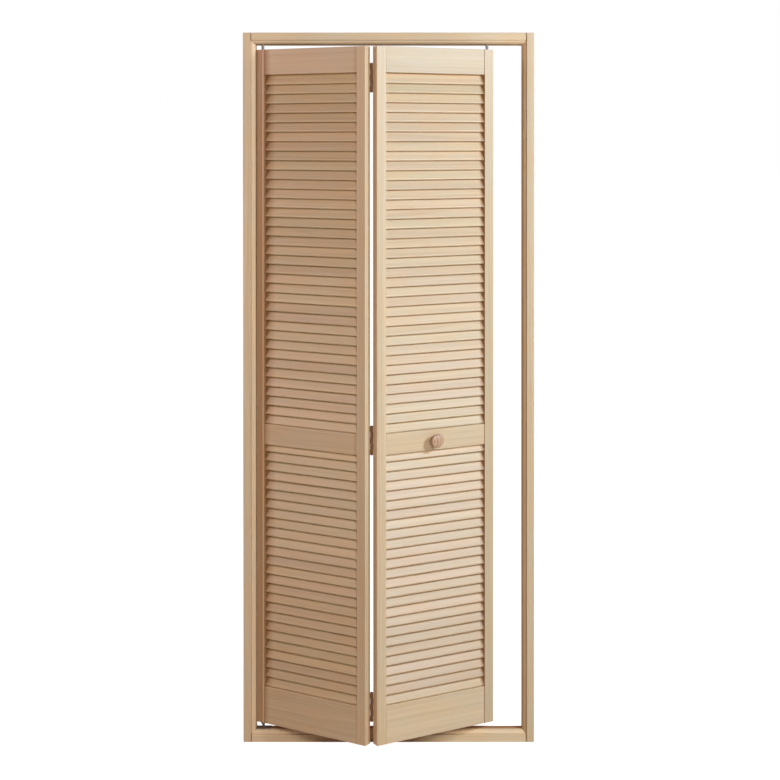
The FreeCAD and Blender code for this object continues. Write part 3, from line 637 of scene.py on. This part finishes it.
def low_part(shade_and_stain_coats):
    """Painted shade on the lower part of a board."""
    return ("z", LOW, ((0, shade_and_stain_coats), (450, shade_and_stain_coats), (800, 0.0)))


def pivot_end(share):
    """Painted shade on the end of a rail by the pivot stile."""
    stops = ((0, 1.1), (4, 0.75), (10, 0.42), (17, 0.16), (24, 0.0), (60, 0.0))
    return ("x", LOW, [(distance, share * shade_and_stain_coats) for distance, shade_and_stain_coats in stops])


BUTT_JOINTS = ("x", BOTH, ((0, 2.6), (1.4, 2.6), (2.4, 0.0)))
# HINGE_END darkens a left rail's end by the hinge stile a little; LEAD_END is painted shade at a right
# rail's end by the lead stile.
HINGE_END = ("x", HIGH, ((0, 0.25), (5, 0.14), (14, 0.0), (60, 0.0)))
LEAD_END = ("x", HIGH, ((0, 1.1), (2.0, 1.1), (3.0, 0.0), (60, 0.0)))

# Coats on the boards: painted shade in grooves, along the head's lower edge, on the sill's top, over the
# pivot stile, on the right jamb's moulding, at rail ends beside the stiles and low down, and stain in
# the butt joints.
BOARD_SHADES_AND_STAINS = {
    "jamb_left": [("x", HIGH, ((0, 0.0), *groove(0.3)))],
    # Painted shade on the right jamb's moulding, which faces away from the light, and deeper in the
    # groove beside it.
    "jamb_right": [("x", LOW, ((0, 0.50), (9, 0.46), (11.6, 0.22), (12.2, 1.0), (14.0, 1.0),
                               (14.6, 0.0), (FACE_END, 0.0)))],
    # Painted shade along the head's lower edge and in its groove; stain in its butt joints.
    "head_member": [("z", LOW, ((0, 0.60), (10, 0.0), *groove(0.15))), BUTT_JOINTS],
    # Painted shade on the sill's top face; stain in its butt joints.
    "sill": [("z", HIGH, ((0, 0.70), (1.2, 0.0), (FACE_END, 0.0))), BUTT_JOINTS],
    # Painted shadow of the jamb over the pivot stile, deepening towards the slats, with a narrow strip
    # left light just before its inner edge.
    "left_pivot_stile": [("x", LOW, ((0, 0.40), (8, 0.48), (18, 0.70), (20.5, 0.75), (21.5, 0.10),
                                     (25.5, 0.05), (26.5, 0.75), (STILE_END, 1.0)))],
    "left_hinge_stile": [low_part(0.12)],
    "left_top_rail": [pivot_end(1.0), HINGE_END],
    "left_mid_rail": [pivot_end(0.6), HINGE_END],
    "left_bottom_rail": [low_part(0.12), pivot_end(0.6), HINGE_END],
    "right_hinge_stile": [low_part(0.05)],
    # Painted shade on the lead stile's inner side beside the slats.
    "right_lead_stile": [("x", LOW, ((0, 0.75), (0.4, 0.55), (0.9, 0.0), (STILE_END, 0.0)))],
    "right_top_rail": [LEAD_END],
    "right_mid_rail": [LEAD_END],
    "right_bottom_rail": [LEAD_END],
}

# Coats of painted shade on the slats: up their width from the lip to the crevice behind the next lip, as
# # painted shadow of the outer stile, and on the lowest ones, both counted from the mid rail.
CREVICE = ("rise", None, ((0.0, 0.0), (0.68, 0.0), (0.78, 0.18), (0.84, 0.35), (0.92, 0.6),
                          (1.0, 0.6)))
SLAT_PAINTED_SHADES = {
    "left": [("x", LOW, ((-8, 0.95), (0, 0.95), (3, 0.72), (10, 0.50), (20, 0.24), (34, 0.0),
                         (60, 0.0))),
             ("z", MIDDLE, ((-800, 0.14), (-500, 0.14), (-300, 0.0))), CREVICE],
    "right": [("x", HIGH, ((-8, 0.85), (4, 0.80), (9, 0.30), (13, 0.0), (60, 0.0))),
              ("z", MIDDLE, ((-800, 0.12), (-500, 0.11), (-250, 0.07), (0, 0.0))), CREVICE],
}


# ---- boards ----
BOARD_TONES = {"right_lead_stile": 0.88, "right_top_rail": 0.915, "left_top_rail": 0.975,
               "sill": 1.12, "jamb_left": 1.03}

# Painted light: mouldings made paler than their flats: axis, side of the board and how much paler.
PAINTED_LIGHT_MOULDS = {"jamb_left": ("x", HIGH, 1.17), "jamb_right": ("x", LOW, 1.12),
               "sill": ("z", HIGH, 1.17)}

# Where boards and slats are sawn from: degrees round the pith, metres from it, and the most
# metres along the trunk.
BOARD_CUT = ((35, 145), (0.055, 0.13), 40)
SLAT_CUT = ((20, 160), (0.03, 0.12), 60)

FRAME_SEED, LEAF_SEED = 7, 19
DOWEL_PITH = (3.0, 0.02, 0.05)
DOWEL_LATE_TONE = 0.8


def place_in_trunk(draw, cut):
    angles, reaches, most_along = cut
    angle = math.radians(draw.uniform(*angles))
    reach = draw.uniform(*reaches)
    along = draw.uniform(-most_along, most_along)
    return Vector((along, reach * math.cos(angle), reach * math.sin(angle)))


def board_material(node, group, grain, draw):
    """Material of one board, sawn from its own place in its own trunk."""
    low, high = node_box(node, group)
    point = board_point(group, grain, (low + high) / 2, place_in_trunk(draw, BOARD_CUT))
    spread = bpy.context.scene.door_wood.tone_spread
    tone = BOARD_TONES.get(node, 1) * (1 + draw.uniform(-1, 1) * spread)
    # Painted light: the moulding's tone is raised above the flat's.
    if node in PAINTED_LIGHT_MOULDS:
        axis, side, gain = PAINTED_LIGHT_MOULDS[node]
        stops = ((0, tone * gain), (MOULD_END, tone * gain), (GROOVE_START, tone), (FACE_END, tone))
        tone = highest_of([(axis, side, stops)], group, low, high)
    # Painted shade, and stain in the butt joints.
    painted_shade_and_stain = highest_of(BOARD_SHADES_AND_STAINS[node], group, low, high)
    return pine_material("pine_" + node, point, tone, draw.uniform(-1, 1), painted_shade_and_stain)


def finish_boards(group, draw):
    for node, grain in BOARDS[group].items():
        dress(node, board_material(node, group, grain, draw))


class DOOR_OT_finish_frame(Operator):
    """Pine for the jambs, head and sill"""
    bl_idname = "door.finish_frame"
    bl_label = "Finish frame"

    def execute(self, context):
        finish_boards("frame", random.Random(FRAME_SEED))
        return {"FINISHED"}


class DOOR_OT_finish_leaf_boards(Operator):
    """Pine for the stiles and rails, beech for the dowels"""
    bl_idname = "door.finish_leaf_boards"
    bl_label = "Finish leaf boards"

    def execute(self, context):
        wood = context.scene.door_wood
        late = [DOWEL_LATE_TONE * part for part in wood.dowel_wood]
        draw = random.Random(LEAF_SEED)
        for leaf in LEAVES:
            finish_boards(leaf, draw)
            node = leaf + "_dowels"
            low, high = node_box(node, leaf)
            dress(node, wood_material(
                "beech_" + node, (wood.dowel_wood, late), (wood.ring_width, wood.ring_contrast),
                board_point(leaf, LEVEL, (low + high) / 2, DOWEL_PITH), tone=1.0, warmth=0.0))
        return {"FINISHED"}


# ---- slats ----
STATIONS = 10        # cross-sections along a slat, after the first
ROUND_STEPS = 8      # faces round each edge
EDGE_LOOP = 0.0008   # metres from a round edge to the points that keep the flat face flat

# Tone and warmth of each leaf's slats beside its other boards.
SLAT_SHADES = {"left": (1.02, -2.5), "right": (1.005, 0.0)}
SLAT_TONE_SIGMA = 0.55   # share of the tone spread
SLAT_WARMTH = 1.4        # most to either side


def slat_section(thickness, flat):
    """Closed outline of a slat: (along its width, through its thickness), edges fully round."""
    radius = thickness / 2
    inner = flat / 2 - EDGE_LOOP
    outline = []
    for side in (1, -1):
        for index in range(ROUND_STEPS + 1):
            angle = math.pi * index / ROUND_STEPS
            outline.append((side * (flat / 2 + radius * math.sin(angle)),
                            side * radius * math.cos(angle)))
        outline += [(side * width, -side * radius) for width in (inner, 0.0, -inner)]
    return outline


def add_slat(maker, layers, low, high, lean, flat, draw, slats, shade):
    """One slat in its leaf's space, from its lip at low.z.  Bow and twist grow from its ends."""
    bow = draw.uniform(-1, 1) * slats.bow
    twist = draw.uniform(-1, 1) * slats.twist
    tone = shade[0] * (1 + draw.gauss(0, SLAT_TONE_SIGMA) * slats.tone_spread)
    warmth = shade[1] + draw.uniform(-SLAT_WARMTH, SLAT_WARMTH)
    trunk = place_in_trunk(draw, SLAT_CUT)
    thickness = slats.thickness
    middle = Vector((0, (low.y + high.y) / 2, low.z + thickness / 2 + flat / 2 * math.cos(lean)))
    previous = None
    for station in range(STATIONS + 1):
        share = station / STATIONS
        swell = math.sin(math.pi * share) ** 2
        here = lean + twist * swell
        along = Vector((0, math.sin(here), math.cos(here)))
        outward = Vector((0, -math.cos(here), math.sin(here)))
        base = middle + outward * (bow * swell)
        base.x = low.x + (high.x - low.x) * share
        ring = []
        for width, depth in slat_section(thickness, flat):
            vertex = maker.verts.new(base + along * width + outward * depth)
            vertex[layers["grain_point"]] = trunk + Vector((base.x, width, depth))
            vertex[layers["tone"]] = tone
            vertex[layers["warmth"]] = warmth
            vertex[layers["rise"]] = 0.5 + width / (flat + thickness)
            ring.append(vertex)
        if previous is None:
            maker.faces.new(ring)
        else:
            join_rings(maker, previous, ring)
        previous = ring
    maker.faces.new(previous)


def cut_at_rail(maker, first_vertex, first_face, limit):
    """Cut the newest slat flat at a height, where a rail stands in its way."""
    fresh_vertices = list(maker.verts)[first_vertex:]
    fresh_faces = list(maker.faces)[first_face:]
    fresh_edges = list({edge for face in fresh_faces for edge in face.edges})
    cut = bmesh.ops.bisect_plane(
        maker, geom=fresh_vertices + fresh_edges + fresh_faces, plane_co=(0, 0, limit),
        plane_no=(0, 0, 1), clear_outer=True)
    rim = [item for item in cut["geom_cut"] if isinstance(item, bmesh.types.BMEdge)]
    bmesh.ops.edgeloop_fill(maker, edges=rim)


def build_slats(leaf, field, material, draw, slats):
    """Slats of one field.  The lowest one is whole, and gives the others their size and lean."""
    node = leaf + "_" + field + "_slats"
    solids = [span(in_own_space(solid, leaf)) for solid in solids_of(node)]
    solids.sort(key=lambda box: box[0].z)
    whole_low, whole_high = solids[0]
    size = whole_high - whole_low
    lean = math.atan2(size.y - slats.thickness, size.z - slats.thickness)
    flat = math.hypot(size.y - slats.thickness, size.z - slats.thickness)
    maker = bmesh.new()
    layers = {"grain_point": maker.verts.layers.float_vector.new("grain_point")}
    for name in ("tone", "warmth", "rise"):
        layers[name] = maker.verts.layers.float.new(name)
    for low, high in solids:
        first_vertex, first_face = len(maker.verts), len(maker.faces)
        add_slat(maker, layers, Vector((low.x, whole_low.y, low.z)),
                 Vector((high.x, whole_high.y, high.z)), lean, flat, draw, slats, SLAT_SHADES[leaf])
        if high.z - low.z < size.z - slats.thickness / 100:
            cut_at_rail(maker, first_vertex, first_face, high.z)
    add_piece("louvres_" + leaf + "_" + field, maker, leaf, node, material)


class DOOR_OT_build_slats(Operator):
    """Louvre slats of both leaves, each a little different in bow, tone and grain"""
    bl_idname = "door.build_slats"
    bl_label = "Build slats"

    def execute(self, context):
        slats = context.scene.door_slats
        draw = random.Random(slats.seed)
        for leaf in LEAVES:
            # Painted shade on the slats: in the crevices, by the outer stile and low down.
            painted_shade_and_stain = highest_of(SLAT_PAINTED_SHADES[leaf], leaf, *node_box(leaf + "_mid_rail", leaf))
            material = pine_material("pine_slats_" + leaf, attribute("grain_point", "Vector"),
                                     attribute("tone"), attribute("warmth"), painted_shade_and_stain)
            for field in ("upper", "lower"):
                build_slats(leaf, field, material, draw, slats)
        return {"FINISHED"}


# ---- knob ----
KNOB_PITH = (2.0, 0.012, 0.035)
KNOB_WARMTH = 0.4


def arc_points(start, middle, end, count):
    """Points on the circle through three points of a profile, without the first one."""
    a, b, c = [complex(*point) for point in (start, middle, end)]
    ratio = (c - a) / (b - a)
    centre = a + (b - a) * (ratio - abs(ratio) ** 2) / (2j * ratio.imag)
    to_middle, sweep = [cmath.phase((point - centre) / (a - centre)) % math.tau for point in (b, c)]
    if to_middle > sweep:
        sweep -= math.tau
    points = [centre + (a - centre) * cmath.exp(1j * sweep * index / count)
              for index in range(1, count + 1)]
    return [(point.real, point.imag) for point in points]


def knob_profile(radius, length, knob):
    """Outline from the screw's hole round the foot, neck and head to the dome, as pairs of a
    radius and a height, and the hole's depth."""
    hole, hole_depth = 0.00205, 0.0151
    foot_radius, foot_height = knob.foot_radius, 0.002
    bevel, ledge = 0.0003, 0.0001
    waist_height = 0.0072
    throat = (0.525 * radius, 0.016)
    bulge = 0.0013
    dome_radius = 1.95 * radius
    rim_round = 0.3375 * radius
    neck_steps, belly_steps, rim_steps, dome_steps = 18, 14, 14, 16

    dome_centre = length - dome_radius
    rim_centre = radius - rim_round
    reach = dome_radius - rim_round
    rim_height = dome_centre + math.sqrt(reach ** 2 - rim_centre ** 2)
    meet = math.asin(rim_centre / reach)
    rim = (radius, rim_height)
    belly = ((throat[0] + rim[0]) / 2 + bulge, (throat[1] + rim[1]) / 2 - bulge)
    profile = [(hole, hole_depth), (hole, 0.0), (foot_radius - bevel, 0.0), (foot_radius, bevel),
               (foot_radius, foot_height - bevel), (foot_radius - ledge, foot_height)]
    profile += arc_points(profile[-1], (knob.neck_radius, waist_height), throat, neck_steps)
    profile += arc_points(throat, belly, rim, belly_steps)
    for index in range(1, rim_steps + 1):
        angle = math.pi / 2 + (meet - math.pi / 2) * index / rim_steps
        profile.append((rim_centre + rim_round * math.sin(angle),
                        rim_height + rim_round * math.cos(angle)))
    for index in range(1, dome_steps):
        angle = meet * (1 - index / dome_steps)
        profile.append((dome_radius * math.sin(angle), dome_centre + dome_radius * math.cos(angle)))
    return profile, hole_depth


class DOOR_OT_build_knob(Operator):
    """Turned knob on the right leaf's mid rail"""
    bl_idname = "door.build_knob"
    bl_label = "Build knob"

    def execute(self, context):
        wood = context.scene.door_wood
        knob = context.scene.door_knob
        low, high = node_box("knob", "right")
        length = high.y - low.y
        seat = Vector(((low.x + high.x) / 2, high.y, (low.z + high.z) / 2))
        place = Matrix.Translation(seat) @ Matrix.Rotation(math.radians(90), 4, "X")
        profile, hole_depth = knob_profile((high.z - low.z) / 2, length, knob)
        maker = bmesh.new()
        turned_piece(maker, place, profile, even_angles(knob.segments), hole_depth, length)
        material = wood_material(
            "turned_wood", (wood.knob_wood, wood.knob_late_wood),
            (wood.knob_ring_width, wood.knob_ring_contrast),
            board_point("right", UPRIGHT, seat, KNOB_PITH), tone=1.0, warmth=KNOB_WARMTH)
        add_piece("turned_knob", maker, "right", "knob", material)
        return {"FINISHED"}


# ---- metal and nylon ----
def bronze_material():
    """Dark bronze paint over steel, rubbed a little thin, with a faint orange peel."""
    metal = bpy.context.scene.door_metal
    material, make, shader = new_material("bronze_paint")
    point = make.object_point()
    cloud = make.noise(point, 55.0, 4.0, 0.6)
    rub = make.product(make.smooth(make.noise(point, (900, 900, 120), 3.0), (0.60, 0.78)),
                       make.smooth(cloud, (0.45, 0.65), (0.15, 0.8)))
    make.feed(shader, {
        "Base Color": make.mix(rub, with_alpha(metal.bronze), with_alpha(metal.bronze_wear)),
        "Roughness": make.smooth(cloud, (0.3, 0.7), (0.48, 0.62)),
        "Specular IOR Level": 0.15})
    make.bump(shader, make.noise(point, 2200.0), strength=0.12, distance=0.0001)
    return material


def nylon_material():
    """Moulded nylon: slightly waxy, with a fine eroded mould texture."""
    material, make, shader = new_material("aged_nylon")
    point = make.object_point()
    cloud = make.noise(point, 90.0, 3.0)
    nylon = with_alpha(bpy.context.scene.door_metal.nylon)
    make.feed(shader, {
        "Base Color": make.shaded(nylon, make.smooth(cloud, (0.3, 0.7), (0.97, 1.02))),
        "Roughness": make.smooth(cloud, (0.3, 0.7), (0.36, 0.48))})
    make.bump(shader, make.noise(point, 3500.0), strength=0.15, distance=0.00006)
    return material


HINGE_NODES = ["hinge_" + place + "_" + part for place in ("top", "middle", "bottom")
               for part in ("left_plate", "right_plate", "pin")]

# The track's pale enamel looks like the nylon.
NYLON_NODES = ("top_pivot_bracket", "top_pivot_sleeve", "bottom_pivot_sleeve", "guide_sleeve",
               "guide_roller", "top_track")


class DOOR_OT_finish_hinges(Operator):
    """Dark bronze for the hinge plates and pins"""
    bl_idname = "door.finish_hinges"
    bl_label = "Finish hinges"

    def execute(self, context):
        dress_all(HINGE_NODES, bronze_material())
        return {"FINISHED"}


# ---- screws ----
# Cross recess, as shares of the head's radius.
RECESS_ARM, RECESS_HALF_WIDTH, RECESS_DEPTH = 0.52, 0.13, 0.42
RECESS_FLOOR = 0.55        # width of its floor, as a share of its mouth's
RECESS_TIP = 1.15          # depth of its middle, as a share of its floor's

# Round head: radius of its flat beside the recess, steps and height of its dome.
FLAT_OVER_ARM, LEAST_FLAT, DOME_STEPS, DOME_SHARE = 1.08, 0.6, 5, 0.8

# Countersunk head: its rounded rim, its face as a share of its radius, and the rim's widest line.
LAND, FACE_SHARE, LAND_CREST = 0.04, 0.98, 0.6

# Wood thread, as shares of the shank's radius or of its own pitch.
SCREW_PITCH, SCREW_CORE, SCREW_RINGS_PER_TURN, TIP_TAPER = 0.8, 0.68, 7, 0.7
RIDGE_HALF_WIDTH = 0.32
PLAIN_SHARE = 0.25         # part of the shank that has no thread
THREAD_STOP = 0.1          # from the thread's last ring to the screw's end
SHORTENED = 0.02           # how far neck and tip stay inside the CAD screw
HEAD_OVER_SHANK = 1.05     # a head is wider than this many shanks


def recess_angles(arm, half_width):
    """Angles round a screw that meet every corner of its cross recess."""
    corner = math.atan2(half_width, arm)
    between = (corner + math.pi / 4) / 2
    quarter = [-corner, -corner / 3, corner / 3, corner, between, math.pi / 4,
               math.pi / 2 - between]
    return [angle + math.pi / 2 * turn for turn in range(4) for angle in quarter]


def recess_radii(angles, arm, half_width):
    """Distance to the edge of a cross at each angle."""
    radii = []
    for angle in angles:
        off_arm = (angle + math.pi / 4) % (math.pi / 2) - math.pi / 4
        radii.append(min(arm / math.cos(off_arm), half_width / max(abs(math.sin(off_arm)), 1e-9)))
    return radii


def thread_radii(angles, height, core, crest, pitch):
    """Radius of a thread at each angle of one ring."""
    radii = []
    for angle in angles:
        turn = (height / pitch - angle / math.tau) % 1.0
        ridge = max(0.0, 1 - abs(turn - 0.5) / RIDGE_HALF_WIDTH)
        radii.append(core + (crest - core) * ridge)
    return radii


def measure_screw(points, axis):
    """Sizes of a CAD screw whose head's face is at the start of its axis."""
    distances = [point.dot(axis) for point in points]
    start, end = min(distances), max(distances)
    low, high = span(points)
    centre = (low + high) / 2
    middle = centre - axis * centre.dot(axis)
    radial = [(point - middle - axis * distance).length
              for point, distance in zip(points, distances)]
    shank = max(value for value, distance in zip(radial, distances)
                if distance > (start + end) / 2)
    head_end = max(distance for value, distance in zip(radial, distances)
                   if value > shank * HEAD_OVER_SHANK)
    return middle + axis * start, end - start, shank, max(radial), head_end - start


def round_head_rings(arm, head, head_length):
    flat = max(arm * FLAT_OVER_ARM, LEAST_FLAT * head)
    rings = [(flat, 0.0)]
    for index in range(1, DOME_STEPS + 1):
        angle = math.pi / 2 * index / DOME_STEPS
        rings.append((flat + (head - flat) * math.sin(angle),
                      head_length * DOME_SHARE * (1 - math.cos(angle))))
    return rings + [(head, head_length)]


def flat_head_rings(head):
    land = LAND * head
    return [(head * FACE_SHARE, 0.0), (head, land * LAND_CREST), (head - land, land)]


def screw_thread_rings(angles, shank, length, plain):
    """Rings of a wood thread from the plain shank to the tip, and growing out of the shank."""
    pitch = SCREW_PITCH * shank
    tip = length - shank * THREAD_STOP
    steps = int((tip - plain) / pitch * SCREW_RINGS_PER_TURN)
    rings = []
    for index in range(1, steps):
        height = plain + (tip - plain) * index / steps
        room = min(shank, length - height)
        run_in = min(1.0, (height - plain) / pitch)
        core = min(SCREW_CORE * shank + (1 - SCREW_CORE) * shank * (1 - run_in), room * TIP_TAPER)
        rings.append((thread_radii(angles, height, core, room, pitch), height))
    return rings


def add_screw(maker, points, axis, round_head):
    """Cross-recess screw inside the shape of its CAD solid."""
    start, length, shank, head, head_length = measure_screw(points, axis)
    arm, half_width, depth = RECESS_ARM * head, RECESS_HALF_WIDTH * head, RECESS_DEPTH * head
    angles = recess_angles(arm, half_width)
    edge = recess_radii(angles, arm, half_width)
    rings = [([radius * RECESS_FLOOR for radius in edge], depth), (edge, 0.0)]
    rings += round_head_rings(arm, head, head_length) if round_head else flat_head_rings(head)
    neck = head_length if round_head else head - shank
    plain = neck + PLAIN_SHARE * (length - neck)
    rings += [(shank, neck + SHORTENED * shank), (shank, plain)]
    rings += screw_thread_rings(angles, shank, length, plain)
    turn = axis.to_track_quat("Z", "Y").to_matrix().to_4x4()
    turned_piece(maker, Matrix.Translation(start) @ turn, rings, angles, depth * RECESS_TIP,
                 length - SHORTENED * shank)


# Each node's piece, group, slot, whether its heads are round, and the way its screws point.
SCREW_NODES = {
    "frame_corner_screws": ("corner_wood_screws", "frame", "zinc_steel", False, None),
    "top_track_screws": ("track_wood_screws", "frame", "zinc_steel", True, (0, 0, 1)),
    "top_pivot_bracket_screw": ("bracket_wood_screw", "frame", "zinc_steel", False, (0, 0, 1)),
    "bottom_socket_screws": ("socket_wood_screws", "frame", "dark_steel", False, (0, 0, -1)),
    "hinge_screws_left": ("hinge_wood_screws_left", "left", "hinge_bronze", False, (0, -1, 0)),
    "hinge_screws_right": ("hinge_wood_screws_right", "right", "hinge_bronze", False, (0, -1, 0)),
    "knob_screw": ("knob_machine_screw", "right", "zinc_steel", True, (0, -1, 0)),
}


class DOOR_OT_build_screws(Operator):
    """Screws of the frame, track, bracket, socket, hinges and knob"""
    bl_idname = "door.build_screws"
    bl_label = "Build screws"

    def execute(self, context):
        for node, (name, group, slot, round_head, way) in SCREW_NODES.items():
            maker = bmesh.new()
            for solid in solids_of(node):
                points = in_own_space(solid, group)
                # The corner screws point inward from both jambs.
                axis = Vector(way or (-math.copysign(1, points[0].x), 0, 0))
                add_screw(maker, points, axis, round_head)
            add_piece(name, maker, group, node, bpy.data.materials[slot])
        return {"FINISHED"}


# ---- track, pivots and guide ----
PIN_SIDES = 36
PIN_NOSE = 0.001           # metres of chamfer at each end
PIN_TIP = 0.85             # radius of its ends, as a share of its core's
PIN_SHOULDER = 0.6         # where the chamfer meets the core, as a share of the nose
PIN_RINGS_PER_TURN = 8     # also the rings over which the thread runs in and out
THREAD_DEPTH = 0.61        # share of the pitch


def build_threaded_pin(pitch):
    """Bottom pivot pin with its adjusting thread, plain at both chamfered ends."""
    low, high = node_box("bottom_pivot_pin", "left")
    radius = (high.x - low.x) / 2
    length = high.z - low.z
    place = Matrix.Translation(((low.x + high.x) / 2, (low.y + high.y) / 2, low.z))
    angles = even_angles(PIN_SIDES)
    core = radius - THREAD_DEPTH * pitch
    tip, shoulder = core * PIN_TIP, PIN_NOSE * PIN_SHOULDER
    rings = [(tip, 0.0), (core, shoulder)]
    steps = int(length / pitch * PIN_RINGS_PER_TURN)
    for index in range(steps + 1):
        height = PIN_NOSE + (length - 2 * PIN_NOSE) * index / steps
        grow = min(1.0, index / PIN_RINGS_PER_TURN, (steps - index) / PIN_RINGS_PER_TURN)
        crest = core + (radius - core) * grow
        rings.append((thread_radii(angles, height, core, crest, pitch), height))
    rings += [(core, length - shoulder), (tip, length)]
    maker = bmesh.new()
    turned_piece(maker, place, rings, angles, 0.0, length)
    add_piece("threaded_pivot_pin", maker, "left", "bottom_pivot_pin",
              bpy.data.materials["dark_steel"])


class DOOR_OT_finish_hardware(Operator):
    """Track, bracket, sleeves, roller, guide pin and threaded bottom pin"""
    bl_idname = "door.finish_hardware"
    bl_label = "Finish track and pivots"

    def execute(self, context):
        dress_all(NYLON_NODES, nylon_material())
        # Steel parts keep the frame's plain materials, and the guide pin is as dark as the others.
        dress("guide_pin", bpy.data.materials["dark_steel"])
        build_threaded_pin(context.scene.door_metal.thread_pitch)
        return {"FINISHED"}


# ---- stage ----
FLOOR_HALF_SIZE = 60
FLOOR_COLOR = (0.80, 0.765, 0.68, 1)
WHITE = (1, 1, 1, 1)
LIGHT_AIM = Vector((0.05, -0.08, 1.05))
LIGHT_PLACES = {"front": (0.8, -3.5, 2.0), "right": (2.6, -1.6, 2.45), "left": (-2.9, -0.9, 2.6)}
CAMERA_PLACE = (0.22067, -4.5844, 1.738)
CAMERA_DIP = 0.371    # degrees
CAMERA_LENS, CAMERA_SENSOR = 73.13, 36.0
CAMERA_SHIFT = (-0.0963, -0.3063)


def add_floor(fill):
    """Pale floor, evened out towards white."""
    maker = bmesh.new()
    bmesh.ops.create_grid(maker, x_segments=1, y_segments=1, size=FLOOR_HALF_SIZE)
    mesh = bpy.data.meshes.new("floor")
    maker.to_mesh(mesh)
    maker.free()
    floor = bpy.data.objects.new("floor", mesh)
    bpy.context.scene.collection.objects.link(floor)
    material = bpy.data.materials.new("pale_floor")
    make = cleared(material)
    matte = make.add("ShaderNodeBsdfDiffuse")
    make.feed(matte, {"Color": FLOOR_COLOR})
    seen = make.add("ShaderNodeLightPath").outputs["Is Camera Ray"]
    glow = make.add("ShaderNodeEmission")
    make.feed(glow, {"Strength": make.product(seen, fill)})
    both = make.add("ShaderNodeAddShader")
    make.feed(both, (matte.outputs[0], glow.outputs[0]))
    make.feed(make.add("ShaderNodeOutputMaterial"), {"Surface": both.outputs[0]})
    mesh.materials.append(material)


def add_studio(ambient_light):
    """White studio all round, with the light that it gives set apart from how it looks."""
    world = bpy.data.worlds.new("studio")
    make = cleared(world)
    seen = make.add("ShaderNodeLightPath").outputs["Is Camera Ray"]
    background = make.add("ShaderNodeBackground")
    make.feed(background, {"Color": make.mix(seen, with_alpha(ambient_light), WHITE)})
    make.feed(make.add("ShaderNodeOutputWorld"), {"Surface": background.outputs[0]})
    bpy.context.scene.world = world


def add_soft_light(name, place, power, color, size):
    """Square area light that faces the middle of the door."""
    data = bpy.data.lights.new(name, "AREA")
    data.shape = "SQUARE"
    data.size = size
    data.energy = power
    data.color = color
    light = bpy.data.objects.new(name, data)
    light.location = place
    light.rotation_euler = (LIGHT_AIM - Vector(place)).to_track_quat("-Z", "Y").to_euler()
    light.visible_camera = False
    bpy.context.scene.collection.objects.link(light)


def add_camera():
    data = bpy.data.cameras.new("camera")
    data.lens = CAMERA_LENS
    data.sensor_width = CAMERA_SENSOR
    data.shift_x, data.shift_y = CAMERA_SHIFT
    camera = bpy.data.objects.new("camera", data)
    camera.location = CAMERA_PLACE
    camera.rotation_euler = (math.radians(90 - CAMERA_DIP), 0, 0)
    bpy.context.scene.collection.objects.link(camera)
    bpy.context.scene.camera = camera


class DOOR_OT_build_stage(Operator):
    """Pale floor, soft light and the camera"""
    bl_idname = "door.build_stage"
    bl_label = "Build stage"

    def execute(self, context):
        stage = context.scene.door_stage
        add_floor(stage.floor_fill)
        add_studio([stage.ambient * part for part in stage.ambient_color])
        for side, place in LIGHT_PLACES.items():
            add_soft_light(side + "_light", place, getattr(stage, side + "_power"),
                           getattr(stage, side + "_color"), stage.light_size)
        add_camera()
        context.scene.view_settings.view_transform = "Standard"
        return {"FINISHED"}


# ---- panel and start ----
STEPS = (
    DOOR_OT_finish_frame,
    DOOR_OT_finish_leaf_boards,
    DOOR_OT_build_slats,
    DOOR_OT_build_knob,
    DOOR_OT_finish_hinges,
    DOOR_OT_build_screws,
    DOOR_OT_finish_hardware,
    DOOR_OT_build_stage,
)

SETTINGS = {
    "door_wood": DoorWoodSettings,
    "door_slats": DoorSlatSettings,
    "door_knob": DoorKnobSettings,
    "door_metal": DoorMetalSettings,
    "door_stage": DoorStageSettings,
}


class DOOR_PT_panel(Panel):
    bl_idname = "DOOR_PT_panel"
    bl_label = "Bifold door"
    bl_space_type = "VIEW_3D"
    bl_region_type = "UI"
    bl_category = "Bifold door"

    def draw(self, context):
        for name, group in SETTINGS.items():
            box = self.layout.box()
            for setting in group.__annotations__:
                box.prop(getattr(context.scene, name), setting)
        for step in STEPS:
            self.layout.operator(step.bl_idname)


def register():
    for name, group in SETTINGS.items():
        bpy.utils.register_class(group)
        setattr(bpy.types.Scene, name, PointerProperty(type=group))
    for step in STEPS:
        bpy.utils.register_class(step)
    bpy.utils.register_class(DOOR_PT_panel)


def unregister():
    bpy.utils.unregister_class(DOOR_PT_panel)
    for step in reversed(STEPS):
        bpy.utils.unregister_class(step)
    for name, group in reversed(list(SETTINGS.items())):
        delattr(bpy.types.Scene, name)
        bpy.utils.unregister_class(group)


def main():
    register()
    bpy.ops.door.finish_frame()
    bpy.ops.door.finish_leaf_boards()
    bpy.ops.door.build_slats()
    bpy.ops.door.build_knob()
    bpy.ops.door.finish_hinges()
    bpy.ops.door.build_screws()
    bpy.ops.door.finish_hardware()
    bpy.ops.door.build_stage()


if __name__ == "__main__":
    main()
